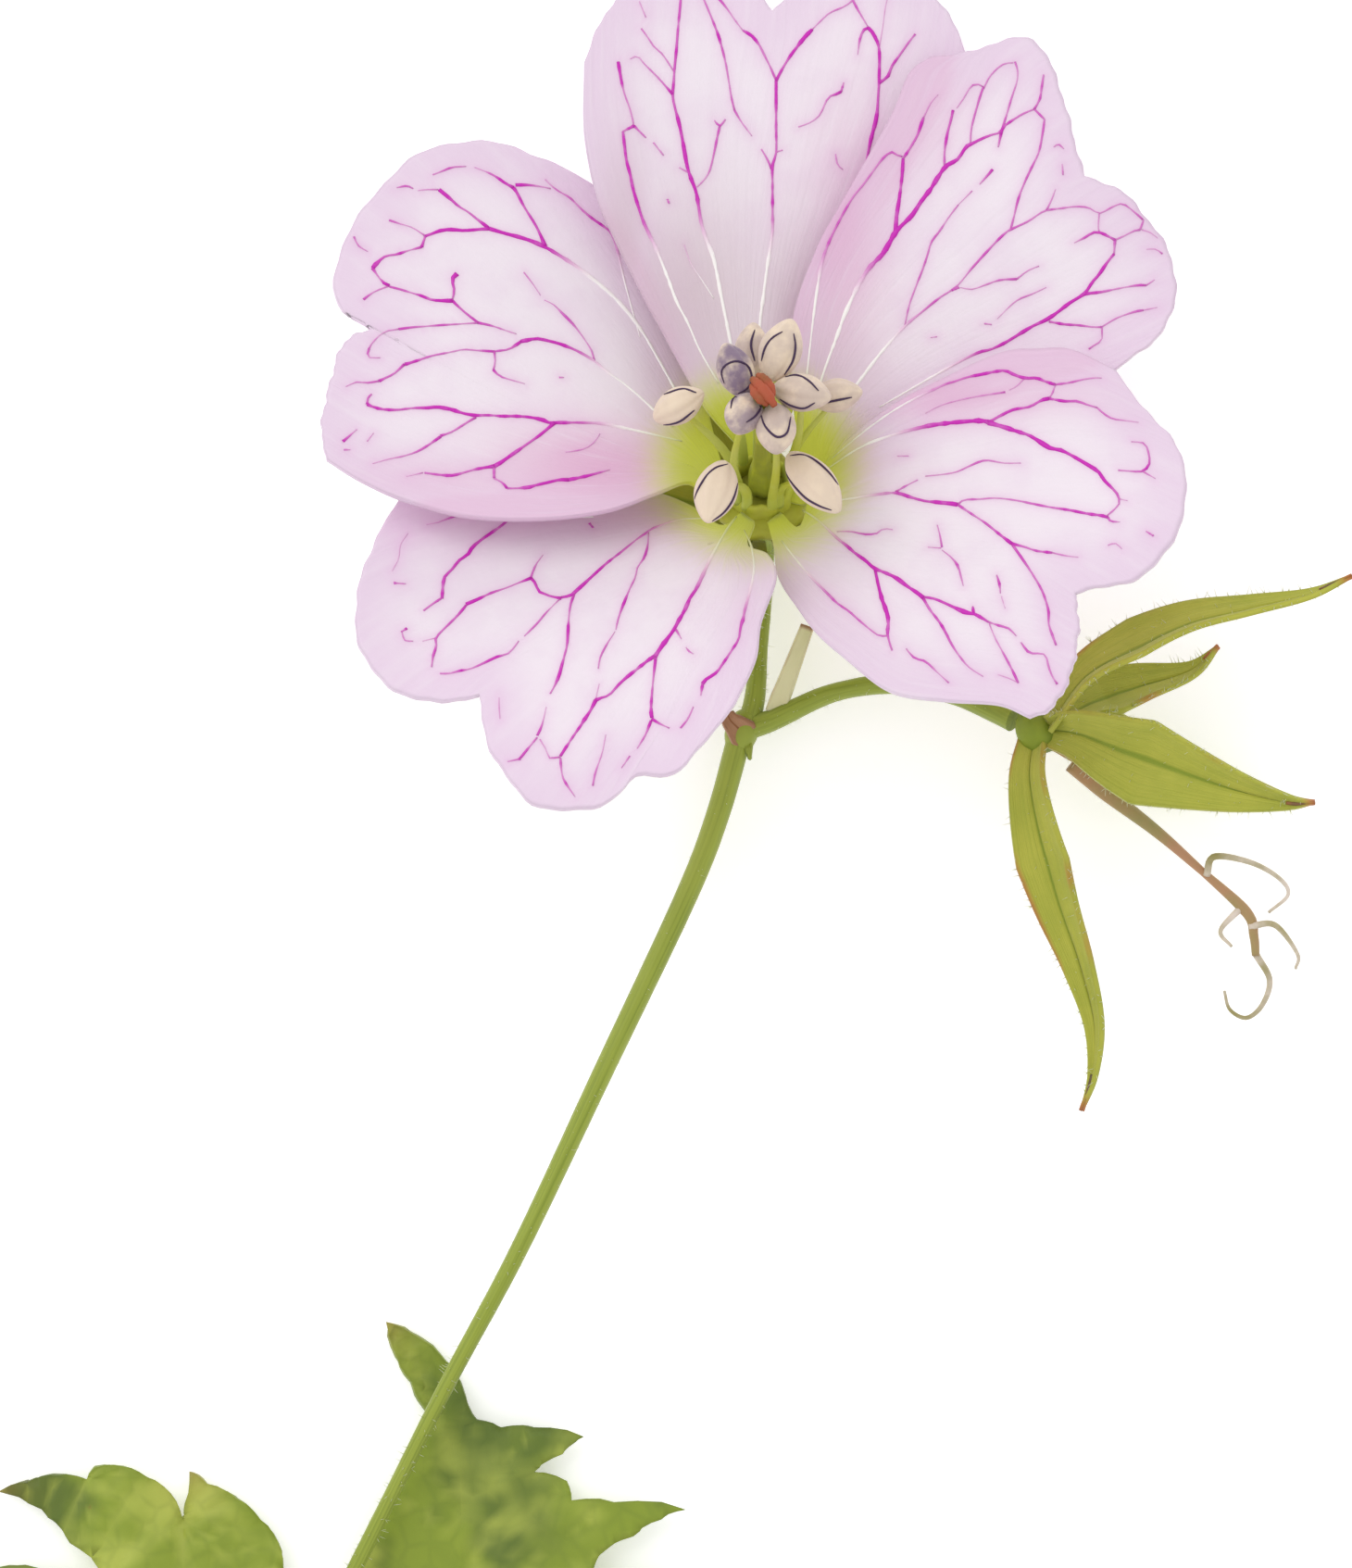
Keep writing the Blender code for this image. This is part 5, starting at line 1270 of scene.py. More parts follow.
def petal_place(outline, columns, rows):
    """Places on a petal: a patch between its two sides, its claw and its notched rim."""
    turn = math.radians(outline["turn"])
    pixels = {key: [Vector(p) for p in outline[key]] for key in ("left", "left_lobe", "right_lobe", "right")}
    foot = Vector(BLOOM_PIXEL)
    pixels["left"].insert(0, foot.lerp(pixels["left"][0], CLAW_INWARD))
    pixels["right"].append(foot.lerp(pixels["right"][-1], CLAW_INWARD))
    left = smooth(pixels["left"], rows)
    right = smooth(pixels["right"], rows)[::-1]
    half = columns // 2
    rim = smooth(pixels["left_lobe"], half) + smooth(pixels["right_lobe"], half)[1:]
    for i, spot in enumerate(rim):
        ahead = rim[min(i + 1, columns)] - rim[max(i - 1, 0)]
        wave = math.sin(i * RIM_SLOW + turn) + RIM_FAST_SHARE * math.sin(i * RIM_FAST + 2 * turn)
        end = min(i, columns - i, RIM_CALM) / RIM_CALM
        spot += Vector((-ahead.y, ahead.x)).normalized() * wave * end * RIM_WAVE

    def place(u, v):
        i = round(u * columns)
        j = round(v * rows)
        sides = left[j].lerp(right[j], u)
        ends = left[0].lerp(right[0], u).lerp(rim[i], v)
        corners = left[0].lerp(right[0], u).lerp(left[-1].lerp(right[-1], u), v)
        pixel = sides + ends - corners
        return petal_point(pixel.x, pixel.y, turn)

    return place


def petal_ring(outline):
    """The petal's outline as photo pixels."""
    ring = []
    for key in ("left", "left_lobe", "right_lobe", "right"):
        ring += smooth([Vector(p) for p in outline[key]], 30)[:-1]
    return ring


def seen_at(point):
    """The photo pixel at which a point is seen."""
    span = PIXEL * (1 - point.z / EYE_HEIGHT)
    return Vector(((point.x + MIDDLE[0]) / span + EYE_PIXEL[0], EYE_PIXEL[1] - (point.y + MIDDLE[1]) / span))


def is_inside(spot, ring):
    inside = False
    for a, b in zip(ring, ring[1:] + ring[:1]):
        if (a.y > spot.y) != (b.y > spot.y) and spot.x < a.x + (b.x - a.x) * (spot.y - a.y) / (b.y - a.y):
            inside = not inside
    return inside


def tree_of(points):
    """A lookup of the nearest of many points."""
    lookup = kdtree.KDTree(len(points))
    for i, point in enumerate(points):
        lookup.insert(point.to_3d(), i)
    lookup.balance()
    return lookup


def vein_paths(name):
    """Each vein of a petal as close pixels, its half widths there, and how much colour it has there."""
    paths = []
    scale = settings().petals.vein * PIXEL / 2
    for white, widths, path in VEINS[name]:
        spots = [Vector(p) for p in path]
        reach = [0.0]
        for a, b in zip(spots, spots[1:]):
            reach.append(reach[-1] + (b - a).length)
        count = max(round(reach[-1] / VEIN_STEP), 4)
        close = smooth(spots, count)
        sizes = smooth([Vector((w, 0)) for w in widths], count)
        turns = reach[min(white, len(reach) - 1)]
        inks = [1.0] * (count + 1)
        if white:
            start, end = turns - WHITE_BEFORE, turns + WHITE_AFTER
            inks = [ramp(reach[-1] * i / count, start, end) for i in range(count + 1)]
        paths.append((close, [size.x * scale for size in sizes], inks))
    return paths


def share_of(spot, middle, reach):
    """How far a photo pixel lies from a middle, against the reach across and down."""
    return math.hypot((spot.x - middle[0]) / reach[0], (spot.y - middle[1]) / reach[1])


def throat_at(spot):
    """1 in the middle of the throat, 0 outside it."""
    return 1 - ramp(share_of(spot, THROAT_PIXEL, THROAT_REACH), 0.35, 1.4)


def petal_up(spot, turn, apart=5):
    """The petal's point at a photo pixel, and which way the petal faces there."""
    here = petal_point(spot.x, spot.y, turn)
    right = petal_point(spot.x + apart, spot.y, turn) - here
    above = petal_point(spot.x, spot.y - apart, turn) - here
    return here, right.cross(above).normalized()


class GERANIUM_OT_petals(bpy.types.Operator):
    """Builds the five petals as thin sheets with their colours' attributes"""

    bl_idname = "geranium.petals"
    bl_label = "Petals"

    def execute(self, context):
        tones = settings().petals
        skin = petal_material(tones)
        rings = {name: petal_ring(outline) for name, outline in PETALS.items()}
        for name, outline in PETALS.items():
            bm = bmesh.new()
            sheet(bm, PETAL_COLUMNS, PETAL_ROWS, petal_place(outline, PETAL_COLUMNS, PETAL_ROWS))
            bmesh.ops.recalc_face_normals(bm, faces=bm.faces)
            self.paint(bm, name, rings)
            finish_piece(
                bm, name + "_blade", skin, replaces=[name], thickness=tones.thickness / METRES
            )
        return {"FINISHED"}

    def paint(self, bm, name, rings):
        """Marks each point's distance from the edge, nearness to a vein, the throat, and painted shade:
        overlap pink and mauve.
        """
        inked = [(spot, ink) for path, _, inks in vein_paths(name) for spot, ink in zip(path, inks)]
        veins = tree_of([spot for spot, _ in inked])
        own = tree_of(rings[name])
        others = [(ring, tree_of(ring)) for other, ring in rings.items() if other != name]
        keys = ("edge", "vein", "overlap_shade", "mauve_shade", "throat")
        layers = {key: bm.verts.layers.float.new(key) for key in keys}
        for vertex in bm.verts:
            spot = seen_at(vertex.co)
            vertex[layers["throat"]] = throat_at(spot)
            vertex[layers["edge"]] = own.find(spot.to_3d())[2] * PIXEL
            _, nearest, aside = veins.find(spot.to_3d())
            vertex[layers["vein"]] = math.exp(-aside * PIXEL / VEIN_HALO) * inked[nearest][1]
            # Where another petal's outline covers this point, the pink painted shade grows in from that
            # petal's edge.
            for ring, edges in others:
                if is_inside(spot, ring):
                    deep = edges.find(spot.to_3d())[2] * PIXEL
                    overlap = OVERLAP_SHADE * ramp(deep, 0, OVERLAP_REACH)
                    vertex[layers["overlap_shade"]] = max(vertex[layers["overlap_shade"]], overlap)
            for key, middle, reach, strength in PATCHES[name]:
                value = strength * bell(share_of(spot, middle, reach), 1)
                vertex[layers[key]] = max(vertex[layers[key]], value)


class GERANIUM_OT_veins(bpy.types.Operator):
    """Builds the raised veins of the petals"""

    bl_idname = "geranium.veins"
    bl_label = "Petal veins"

    def execute(self, context):
        tones = settings().petals
        skin = vein_material(tones)
        deep = tones.thickness / METRES / 2
        for name, outline in PETALS.items():
            bm = bmesh.new()
            turn = math.radians(outline["turn"])
            ink = bm.verts.layers.float.new("ink")
            throat = bm.verts.layers.float.new("throat")
            for path, sizes, inks in vein_paths(name):
                points, ups = [], []
                for spot in path:
                    point, up = petal_up(spot, turn)
                    points.append(point)
                    ups.append(up)
                widths = [size * random.uniform(*VEIN_UNEVEN) for size in sizes]
                depths = [deep + VEIN_LIFT + w * VEIN_RISE for w in widths]
                shown = [i * min(1.0, VEIN_FAINT + w / VEIN_FULL) for i, w in zip(inks, widths)]
                marks = [(ink, shown), (throat, [throat_at(spot) for spot in path])]
                rolled(bm, points, widths, depths, ups, 6, marks)
            finish_piece(bm, name + "_veins", skin)
        return {"FINISHED"}


def blade_place(spine, widths, roll, cup, rows, keel=0.0):
    """Places on a sepal or bract, along a middle line with its own widths, rolled about it and cupped."""
    middle = smooth([Vector(p) for p in spine], rows)
    sizes = smooth([Vector((w, 0, 0)) for w in widths], rows)
    tilt = math.radians(roll)

    def place(u, v):
        j = round(v * rows)
        ahead = middle[min(j + 1, rows)] - middle[max(j - 1, 0)]
        across = Vector((ahead.y, -ahead.x, 0)).normalized()
        up = across.cross(ahead).normalized() * -1
        if up.z < 0:
            up.negate()
        reach = across * math.cos(tilt) + up * math.sin(tilt)
        bowl = up * math.cos(tilt) - across * math.sin(tilt)
        width = max(sizes[j].x, 0.12)
        side = 2 * u - 1
        sink = cup * width * (1 - side * side) + keel * bell(side, 0.14) * min(1, width)
        return middle[j] + reach * (side * width / 2) - bowl * sink

    return place


def blade_roots(place, count, below=False):
    """Points and outward directions spread over a blade, for its hairs."""
    roots = []
    for _ in range(count):
        u, v = random.choice((random.random(), 0.0, 1.0)), random.uniform(0.04, 0.95)
        point = place(u, v)
        right = place(min(u + 0.1, 1.0), v) - place(max(u - 0.1, 0.0), v)
        above = place(u, min(v + 0.04, 1.0)) - place(u, max(v - 0.04, 0.0))
        face = right.cross(above).normalized()
        if (face.z < 0) != below:
            face.negate()
        if u in (0.0, 1.0):
            face = face * 0.4 + right.normalized() * (2 * u - 1)
        roots.append((point, face.normalized()))
    return roots


class GERANIUM_OT_calyx(bpy.types.Operator):
    """Builds the open bloom's receptacle and five sepals"""

    bl_idname = "geranium.calyx"
    bl_label = "Calyx"

    def execute(self, context):
        greens = settings().greens
        skin = ribbed_material("calyx_skin", greens.sepal, greens.sepal_rib, greens.sepal_edge, 0.86)
        bm = bmesh.new()
        roots = []
        for degrees in SEPAL_TURNS:
            turn = math.radians(degrees)

            def place(u, v, turn=turn):
                radius = 1.0 + v * (SEPAL_LENGTH + 0.2)
                width = SEPAL_WIDTH * math.sin(math.pi * (0.08 + v * 0.87)) ** 0.9 + 0.12
                side = (2 * u - 1) * width / 2
                reach = math.hypot(radius, side)
                keel = 0.14 * bell(side, 0.2)
                lift = 0.25 * (side / (width / 2)) ** 2 * math.sin(math.pi * v)
                along = funnel(reach) - SEPAL_BELOW - keel + lift
                return in_bloom(reach, turn + math.atan2(side, radius), along)

            sheet(bm, 14, 40, place)
            roots += blade_roots(place, CALYX_HAIRS, below=True)
        bmesh.ops.recalc_face_normals(bm, faces=bm.faces)
        finish_piece(bm, "bloom_sepals", skin, replaces=["bloom_calyx"], thickness=SEPAL_THICKNESS)
        bm = bmesh.new()
        spun(bm, RECEPTACLE)
        spun(bm, RECEPTACLE_RING)
        flute(bm, 10, 0.05)
        cup_skin = plain_material("receptacle_skin", settings().petals.throat, greens.sepal, 500)
        finish_piece(bm, "bloom_receptacle", cup_skin)
        hair_piece("bloom_calyx_hairs", "calyx_hair", roots, CALYX_HAIR)
        return {"FINISHED"}


def spun(bm, profile, count=26, steps=32):
    """A turned form about the bloom's axis, from (radius, along) pairs that start and end on it."""
    fine = [p.xy for p in smooth([Vector((r, a, 0)) for r, a in profile], count)]
    corners = [bm.verts.new(in_bloom(max(p.x, 0.0), 0, p.y)) for p in fine]
    edges = [bm.edges.new(pair) for pair in zip(corners, corners[1:])]
    bmesh.ops.spin(
        bm, geom=corners + edges, cent=BLOOM_FOOT, axis=AXIS, angle=2 * math.pi, steps=steps, use_merge=True
    )
    bmesh.ops.remove_doubles(bm, verts=bm.verts, dist=TURNED_WELD)
    bmesh.ops.recalc_face_normals(bm, faces=bm.faces)


def turn_of(point):
    """Which way from the bloom's axis a point lies, in radians from +X."""
    out = point - BLOOM_FOOT
    return math.atan2(out.dot(UPWARD), out.dot(ACROSS))


def flute(bm, count, depth):
    """Swells a turned form into lengthwise ribs."""
    for vertex in bm.verts:
        level = BLOOM_FOOT + AXIS * (vertex.co - BLOOM_FOOT).dot(AXIS)
        swell = 1 + depth * math.cos(count * turn_of(vertex.co))
        vertex.co = level + (vertex.co - level) * swell


def anther_shape(angle, share):
    """Two swellings side by side, with a groove on each side and one along the middle."""
    grooves = bell(abs(angle) - ANTHER_GROOVE, 0.2) + 0.6 * bell(angle, 0.16)
    taper = 1 - 0.28 * max(share, 0.0) ** 2 - 0.1 * max(-share, 0.0) ** 2
    return (1 - 0.11 * grooves) * (1 + 0.14 * (1 - share * share)) * taper


def drawn_on(bm, pixels, size, lookup, lift):
    """A dark line drawn on a form, through photo pixels, where each is seen on the form."""
    points = []
    for spot in smooth([Vector(p) for p in pixels], 24):
        above = on_table(spot.x, spot.y, 30)
        hit = lookup.ray_cast(above, on_table(spot.x, spot.y, 0) - above)[0]
        if hit:
            points.append(hit + Vector((0, 0, lift)))
    if len(points) > 3:
        last = len(points) - 1
        radii = [size * (0.35 + 0.65 * math.sin(math.pi * i / last) ** 0.6) for i in range(last + 1)]
        rolled(bm, points, radii)


class GERANIUM_OT_stamens(bpy.types.Operator):
    """Builds the ten filaments and their anthers"""

    bl_idname = "geranium.stamens"
    bl_label = "Stamens"

    def execute(self, context):
        tones = settings().stamens
        foot = tones.filament / METRES
        line = tones.line / METRES / 2
        threads, anthers, slits = (bmesh.new() for _ in range(3))
        greyness = anthers.verts.layers.float.new("grey")
        rows = (
            (OUTER_ANTHERS, OUTER_ALONG, OUTER_BULGE),
            (INNER_ANTHERS, INNER_ALONG, INNER_BULGE),
        )
        for row, along, bulge in rows:
            for middle_pixel, tip_pixel, long, wide, grey, lines in row:
                middle = along_axis_point(*middle_pixel, along)
                ahead = (along_axis_point(*tip_pixel, along + 0.3) - middle).normalized()
                angle = turn_of(middle)
                path = [in_bloom(radius, angle, high) for radius, high in FILAMENT_FEET]
                path.append(in_bloom(bulge, angle, (BULGE_FROM + along) / 2))
                path.append(middle - AXIS * FILAMENT_END)
                points = smooth(path, FILAMENT_STEPS)
                radii = [foot * (1 - FILAMENT_TAPER * i / FILAMENT_STEPS) for i in range(len(points))]
                rolled(threads, points, radii, [r * FILAMENT_FLAT for r in radii], sides=12)
                size = (long * PIXEL * ANTHER_LONG, wide * PIXEL * ANTHER_WIDE, ANTHER_DEEP)
                lump = bmesh.new()
                egg(lump, middle, size, ahead, AXIS, anther_shape, *ANTHER_MESH)
                lookup = bvhtree.BVHTree.FromBMesh(lump)
                lump.free()
                for vertex in egg(anthers, middle, size, ahead, AXIS, anther_shape, *ANTHER_MESH):
                    vertex[greyness] = grey
                for pixels in lines:
                    drawn_on(slits, pixels, line, lookup, line * 0.25)
        skin = plain_material("filament_skin", tones.filament_tone, settings().petals.throat, 260)
        finish_piece(threads, "stamen_filaments", skin, replaces=["stamens"])
        finish_piece(anthers, "stamen_anthers", anther_material(tones))
        skin = plain_material("slit_skin", tones.slit, tones.slit, 900)
        finish_piece(slits, "stamen_slits", skin)
        return {"FINISHED"}


def anther_material(tones):
    """Cream to grey-lilac skin with a pale bloom of pollen."""
    material, tree, shader = start_material("anther_skin", 0.6, sheen=0.3)
    place = coordinates(tree, "Object")
    patches = noise(tree, place, 900, 4)
    mixed = times(tree, attribute(tree, "grey"), fade(tree, patches, 0.3, 0.6))
    base = blend(tree, mixed, tones.anther, tones.grey)
    tree.links.new(base, shader.inputs["Base Color"])
    relief(tree, shader, patches, 0.6, 0.1)
    relief(tree, shader, noise(tree, place, 6000, 2), 0.4, 0.03)
    return material


class GERANIUM_OT_pistil(bpy.types.Operator):
    """Builds the ovary, the style column and the lobed stigma"""

    bl_idname = "geranium.pistil"
    bl_label = "Pistil"

    def execute(self, context):
        tones = settings().stamens
        bm = bmesh.new()
        spun(bm, [(radius, along + RECEPTACLE_TOP + 0.3) for radius, along in COLUMN])
        flute(bm, 5, 0.09)
        skin = plain_material("style_skin", tones.style_tone, settings().petals.throat, 600)
        finish_piece(bm, "pistil_column", skin, replaces=["pistil"])
        bm = bmesh.new()
        for lobe in STIGMA:
            points = smooth([along_axis_point(px, py, STYLE_LENGTH + high) for px, py, high in lobe], 14)
            radii = [0.24 * (0.5 + 0.5 * math.sin(math.pi * i / 14)) for i in range(15)]
            rolled(bm, points, [radius * random.uniform(0.85, 1.1) for radius in radii], sides=12)
        skin = plain_material("stigma_skin", tones.stigma, settings().greens.leaf_spot, 900, 0.6)
        finish_piece(bm, "pistil_stigma", skin)
        return {"FINISHED"}


class GERANIUM_OT_stem(bpy.types.Operator):
    """Builds the stem, its fork and node, both flower stalks, the bracts and the stipules"""

    bl_idname = "geranium.stem"
    bl_label = "Stem"

    def execute(self, context):
        greens = settings().greens
        bm = bmesh.new()
        stalks = ((STEM_PATH, 90), (BLOOM_PEDICEL, 40), (SPENT_PEDICEL, 40))
        lines = [round_stem(bm, path, count) for path, count in stalks]
        egg(bm, on_table(*STEM_FORK), (1.9, 1.35, 1.35), Vector((0.3, 1, 0)), Vector((0, 0, 1)))
        egg(bm, on_table(*STEM_NODE), (2.2, 1.6, 1.6), Vector((-0.4, -1, 0)), Vector((0, 0, 1)))
        skin = stem_material(greens)
        finish_piece(bm, "stem_stalks", skin, replaces=["stem"], sharp=50)
        browns = ribbed_material("bract_skin", greens.bract, greens.leaf_spot, greens.leaf_spot, 0.8)
        pales = ribbed_material("pale_bract_skin", greens.pale_bract, greens.pale_bract, greens.bract, 0.95)
        groups = (
            (BRACTS[:1], "stem_pale_bract", pales),
            (BRACTS[1:2] + STIPULES, "stem_bracts", browns),
            (BRACTS[2:], "stem_green_bract", skin),
        )
        for bracts, name, skin in groups:
            bm = bmesh.new()
            for bract in bracts:
                spine = [on_table(*p) for p in bract["spine"]]
                sheet(bm, 8, 20, blade_place(spine, bract["widths"], 0, 0.14, 20))
            bmesh.ops.recalc_face_normals(bm, faces=bm.faces)
            finish_piece(bm, name, skin, thickness=BRACT_THICKNESS)
        roots = []
        for line in lines:
            for _ in range(len(line) * STEM_HAIRS):
                i = random.randrange(1, len(line) - 1)
                ahead = (line[i + 1] - line[i - 1]).normalized()
                out = ahead.orthogonal().normalized()
                out.rotate(Matrix.Rotation(random.uniform(0, 2 * math.pi), 3, ahead))
                roots.append((line[i].lerp(line[i + 1], random.random()) + out * 0.3, out))
        hair_piece("stem_hairs", "stem_hair", roots, STEM_HAIR)
        return {"FINISHED"}


def stem_material(greens):
    """Green skin with fine lengthwise strands."""
    material, tree, shader = start_material("stem_skin", 0.45, sheen=0.1)
    place = coordinates(tree, "Object")
    strands = noise(tree, coordinates(tree, "UV", (18, 3, 1)), 1.4, 3)
    patches = noise(tree, place, 150, 3)
    base = blend(tree, fade(tree, strands, 0.3, 0.6), greens.stem_shade, greens.stem)
    base = blend(tree, part(tree, patches, 0.4, 0.7, 0.3), base, greens.leaf_light)
    tree.links.new(base, shader.inputs["Base Color"])
    relief(tree, shader, strands, 0.35, 0.04)
    relief(tree, shader, noise(tree, place, 3000, 2), 0.4, 0.02)
    return material


def leaf_ribs(leaf):
    """Each lobe's midrib in photo pixels, from the base of the blade to the lobe's tip."""
    ribs = []
    for i, (_, fall) in enumerate(leaf["lobes"]):
        bends = leaf["bent_ribs"].get(i, [])
        ribs.append(smooth([Vector(p) for p in (leaf["base"], *bends, fall[0])], 4 * RIB_STEPS))
    return ribs


def tooth_ribs(leaf, ribs):
    """A side vein from each midrib to each tooth of its lobe."""
    veins = []
    for rib, (rise, fall) in zip(ribs, leaf["lobes"]):
        for tip in (*rise[1:-1], *fall[1:-1]):
            tip = Vector(tip)
            near = min(range(len(rib)), key=lambda i: (rib[i] - tip).length)
            start = rib[max(near - 12, 4)]
            bend = start.lerp(tip, 0.5) + (rib[near] - rib[max(near - 12, 4)]) * 0.12
            veins.append(smooth([start, bend, tip.lerp(start, 0.08)], 20))
    return veins


class GERANIUM_OT_leaves(bpy.types.Operator):
    """Builds the two toothed, lobed leaves with their stalks"""

    bl_idname = "geranium.leaves"
    bl_label = "Leaves"

    def execute(self, context):
        greens = settings().greens
        skin = leaf_material(greens)
        stalk_skin = stem_material(greens)
        for name, leaf in LEAVES.items():
            bm = self.blade(leaf)
            finish_piece(bm, name + "_blade", skin, replaces=[name], thickness=LEAF_THICKNESS)
            bm = bmesh.new()
            path = [(px, py, height, PETIOLE_RADIUS) for px, py, height in leaf["petiole"]]
            round_stem(bm, path, 30, 16)
            finish_piece(bm, name + "_petiole", stalk_skin)
        return {"FINISHED"}

    def blade(self, leaf):
        """The toothed outline, filled, cut into small cells and raised off the table."""
        bm = bmesh.new()
        outline = [Vector(p) for rise, fall in leaf["lobes"] for p in (*rise[:-1], *fall[:-1])]
        outline.append(Vector(leaf["lobes"][-1][1][-1]))
        middle = sum(outline, Vector((0, 0))) / len(outline)
        rounded = []
        for a, b in zip(outline, outline[1:] + outline[:1]):
            out = Vector((b.y - a.y, a.x - b.x)) * TOOTH_BULGE
            if out.dot((a + b) / 2 - middle) < 0:
                out.negate()
            rounded += [a, a.lerp(b, 0.33) + out * 0.8, a.lerp(b, 0.66) + out]
        corners = [bm.verts.new((p.x, p.y, 0)) for p in rounded]
        edges = [bm.edges.new((a, b)) for a, b in zip(corners, corners[1:] + corners[:1])]
        bmesh.ops.triangle_fill(bm, use_beauty=True, edges=edges)
        for side in range(2):
            low = min(p[side] for p in rounded)
            high = max(p[side] for p in rounded)
            for cut in range(1, round((high - low) / LEAF_CELL)):
                plane = [0, 0, 0]
                plane[side] = low + cut * LEAF_CELL
                square = Vector((1 - side, side, 0))
                geometry = bm.verts[:] + bm.edges[:] + bm.faces[:]
                bmesh.ops.bisect_plane(bm, geom=geometry, plane_co=plane, plane_no=square, dist=0.2)
        bmesh.ops.remove_doubles(bm, verts=bm.verts, dist=LEAF_CELL / 14)
        bmesh.ops.triangulate(bm, faces=bm.faces)
        self.raise_blade(bm, leaf)
        bmesh.ops.recalc_face_normals(bm, faces=bm.faces)
        return bm

    def raise_blade(self, bm, leaf):
        """Arches the blade down to the table, folds it along its ribs and sinks its veins."""
        ribs = leaf_ribs(leaf)
        longest = max((rib[-1] - rib[0]).length for rib in ribs)
        main = tree_of([p for rib in ribs for p in rib])
        side_veins = tree_of([p for vein in tooth_ribs(leaf, ribs) for p in vein])
        tips = tree_of([Vector(fall[0]) for _, fall in leaf["lobes"]])
        rib_layer = bm.verts.layers.float.new("rib")
        tooth_layer = bm.verts.layers.float.new("tooth")
        fold_layer = bm.verts.layers.float.new("fold")
        fold = tree_of(smooth([Vector(p) for p in LEAF_DARK_FOLD], 24))
        for vertex in bm.verts:
            pixel = vertex.co.xy
            out = min((pixel - ribs[0][0]).length / longest, 1.0)
            aside = main.find(vertex.co)[2] * PIXEL
            near = side_veins.find(vertex.co)[2] * PIXEL
            height = LEAF_LOW + LEAF_RISE * (1 - out) ** 1.5 + LEAF_FOLD * (1 - math.exp(-aside)) * out
            groove = MIDRIB_GROOVE * bell(aside, 0.22) + SIDE_GROOVE * bell(near, 0.2)
            swell = LEAF_SWELL * math.sin(pixel.x * 0.05) * math.sin(pixel.y * 0.06)
            vertex[rib_layer] = max(bell(aside, 0.17), 0.6 * bell(near, 0.12))
            vertex[tooth_layer] = math.exp(-tips.find(vertex.co)[2] * PIXEL / TOOTH_REACH)
            vertex[fold_layer] = math.exp(-fold.find(vertex.co)[2] * PIXEL / FOLD_REACH)
            height = max(height - groove + swell * out * ramp(aside, 0.2, 1.2), LEAF_CLEAR)
            vertex.co = on_table(pixel.x, pixel.y, height)


def cup_ribs(angle, share):
    return 1 + 0.04 * math.cos(5 * angle)


class GERANIUM_OT_spent_bloom(bpy.types.Operator):
    """Builds the spent bloom: its receptacle, sepals with their bristles, style and curled threads"""

    bl_idname = "geranium.spent_bloom"
    bl_label = "Spent bloom"

    def execute(self, context):
        greens = settings().greens
        bm, awns = bmesh.new(), bmesh.new()
        roots = []
        for sepal in SPENT_SEPALS:
            spine = [on_table(*p) for p in sepal["spine"]]
            place = blade_place(spine, sepal["widths"], sepal["roll"], 0.2, 60, keel=0.12)
            sheet(bm, 18, 60, place)
            roots += blade_roots(place, SPENT_HAIRS)
            tip = smooth(spine, 60)[-AWN_STEPS:]
            rolled(awns, tip, [AWN_RADIUS * (1 - abs(i - 2) / AWN_STEPS) for i in range(AWN_STEPS)])
        bmesh.ops.recalc_face_normals(bm, faces=bm.faces)
        skin = ribbed_material("spent_sepal_skin", greens.sepal, greens.sepal_rib, greens.sepal_edge, 0.84)
        finish_piece(bm, "spent_sepals", skin, replaces=["spent_calyx"], thickness=SPENT_THICKNESS)
        skin = plain_material("awn_skin", greens.awn, greens.sepal_edge, 400)
        finish_piece(awns, "spent_awns", skin)
        bm = bmesh.new()
        up = Vector((0, 0, 1))
        egg(bm, on_table(*SPENT_PIXEL), (2.0, 1.8, 1.8), Vector((1, -0.9, 0)), up, cup_ribs)
        skin = plain_material("spent_receptacle_skin", greens.sepal_rib, greens.leaf_dark, 500)
        finish_piece(bm, "spent_receptacle", skin)
        hair_piece("spent_hairs", "spent_hair", roots, SPENT_HAIR)
        bm = bmesh.new()
        round_stem(bm, SPENT_STYLE, 60, 14)
        skin = plain_material("spent_style_skin", greens.spent, greens.bract, 300)
        finish_piece(bm, "spent_style", skin, replaces=["spent_pistil"])
        bm = bmesh.new()
        for curl in SPENT_CURLS:
            points = smooth([on_table(*p) for p in curl], 40)
            radii = [CURL_RADIUS * (1.25 - 0.75 * i / 40) for i in range(41)]
            rolled(bm, points, radii, sides=10)
        skin = plain_material("curl_skin", greens.curl, greens.spent, 500)
        finish_piece(bm, "spent_curls", skin)
        return {"FINISHED"}


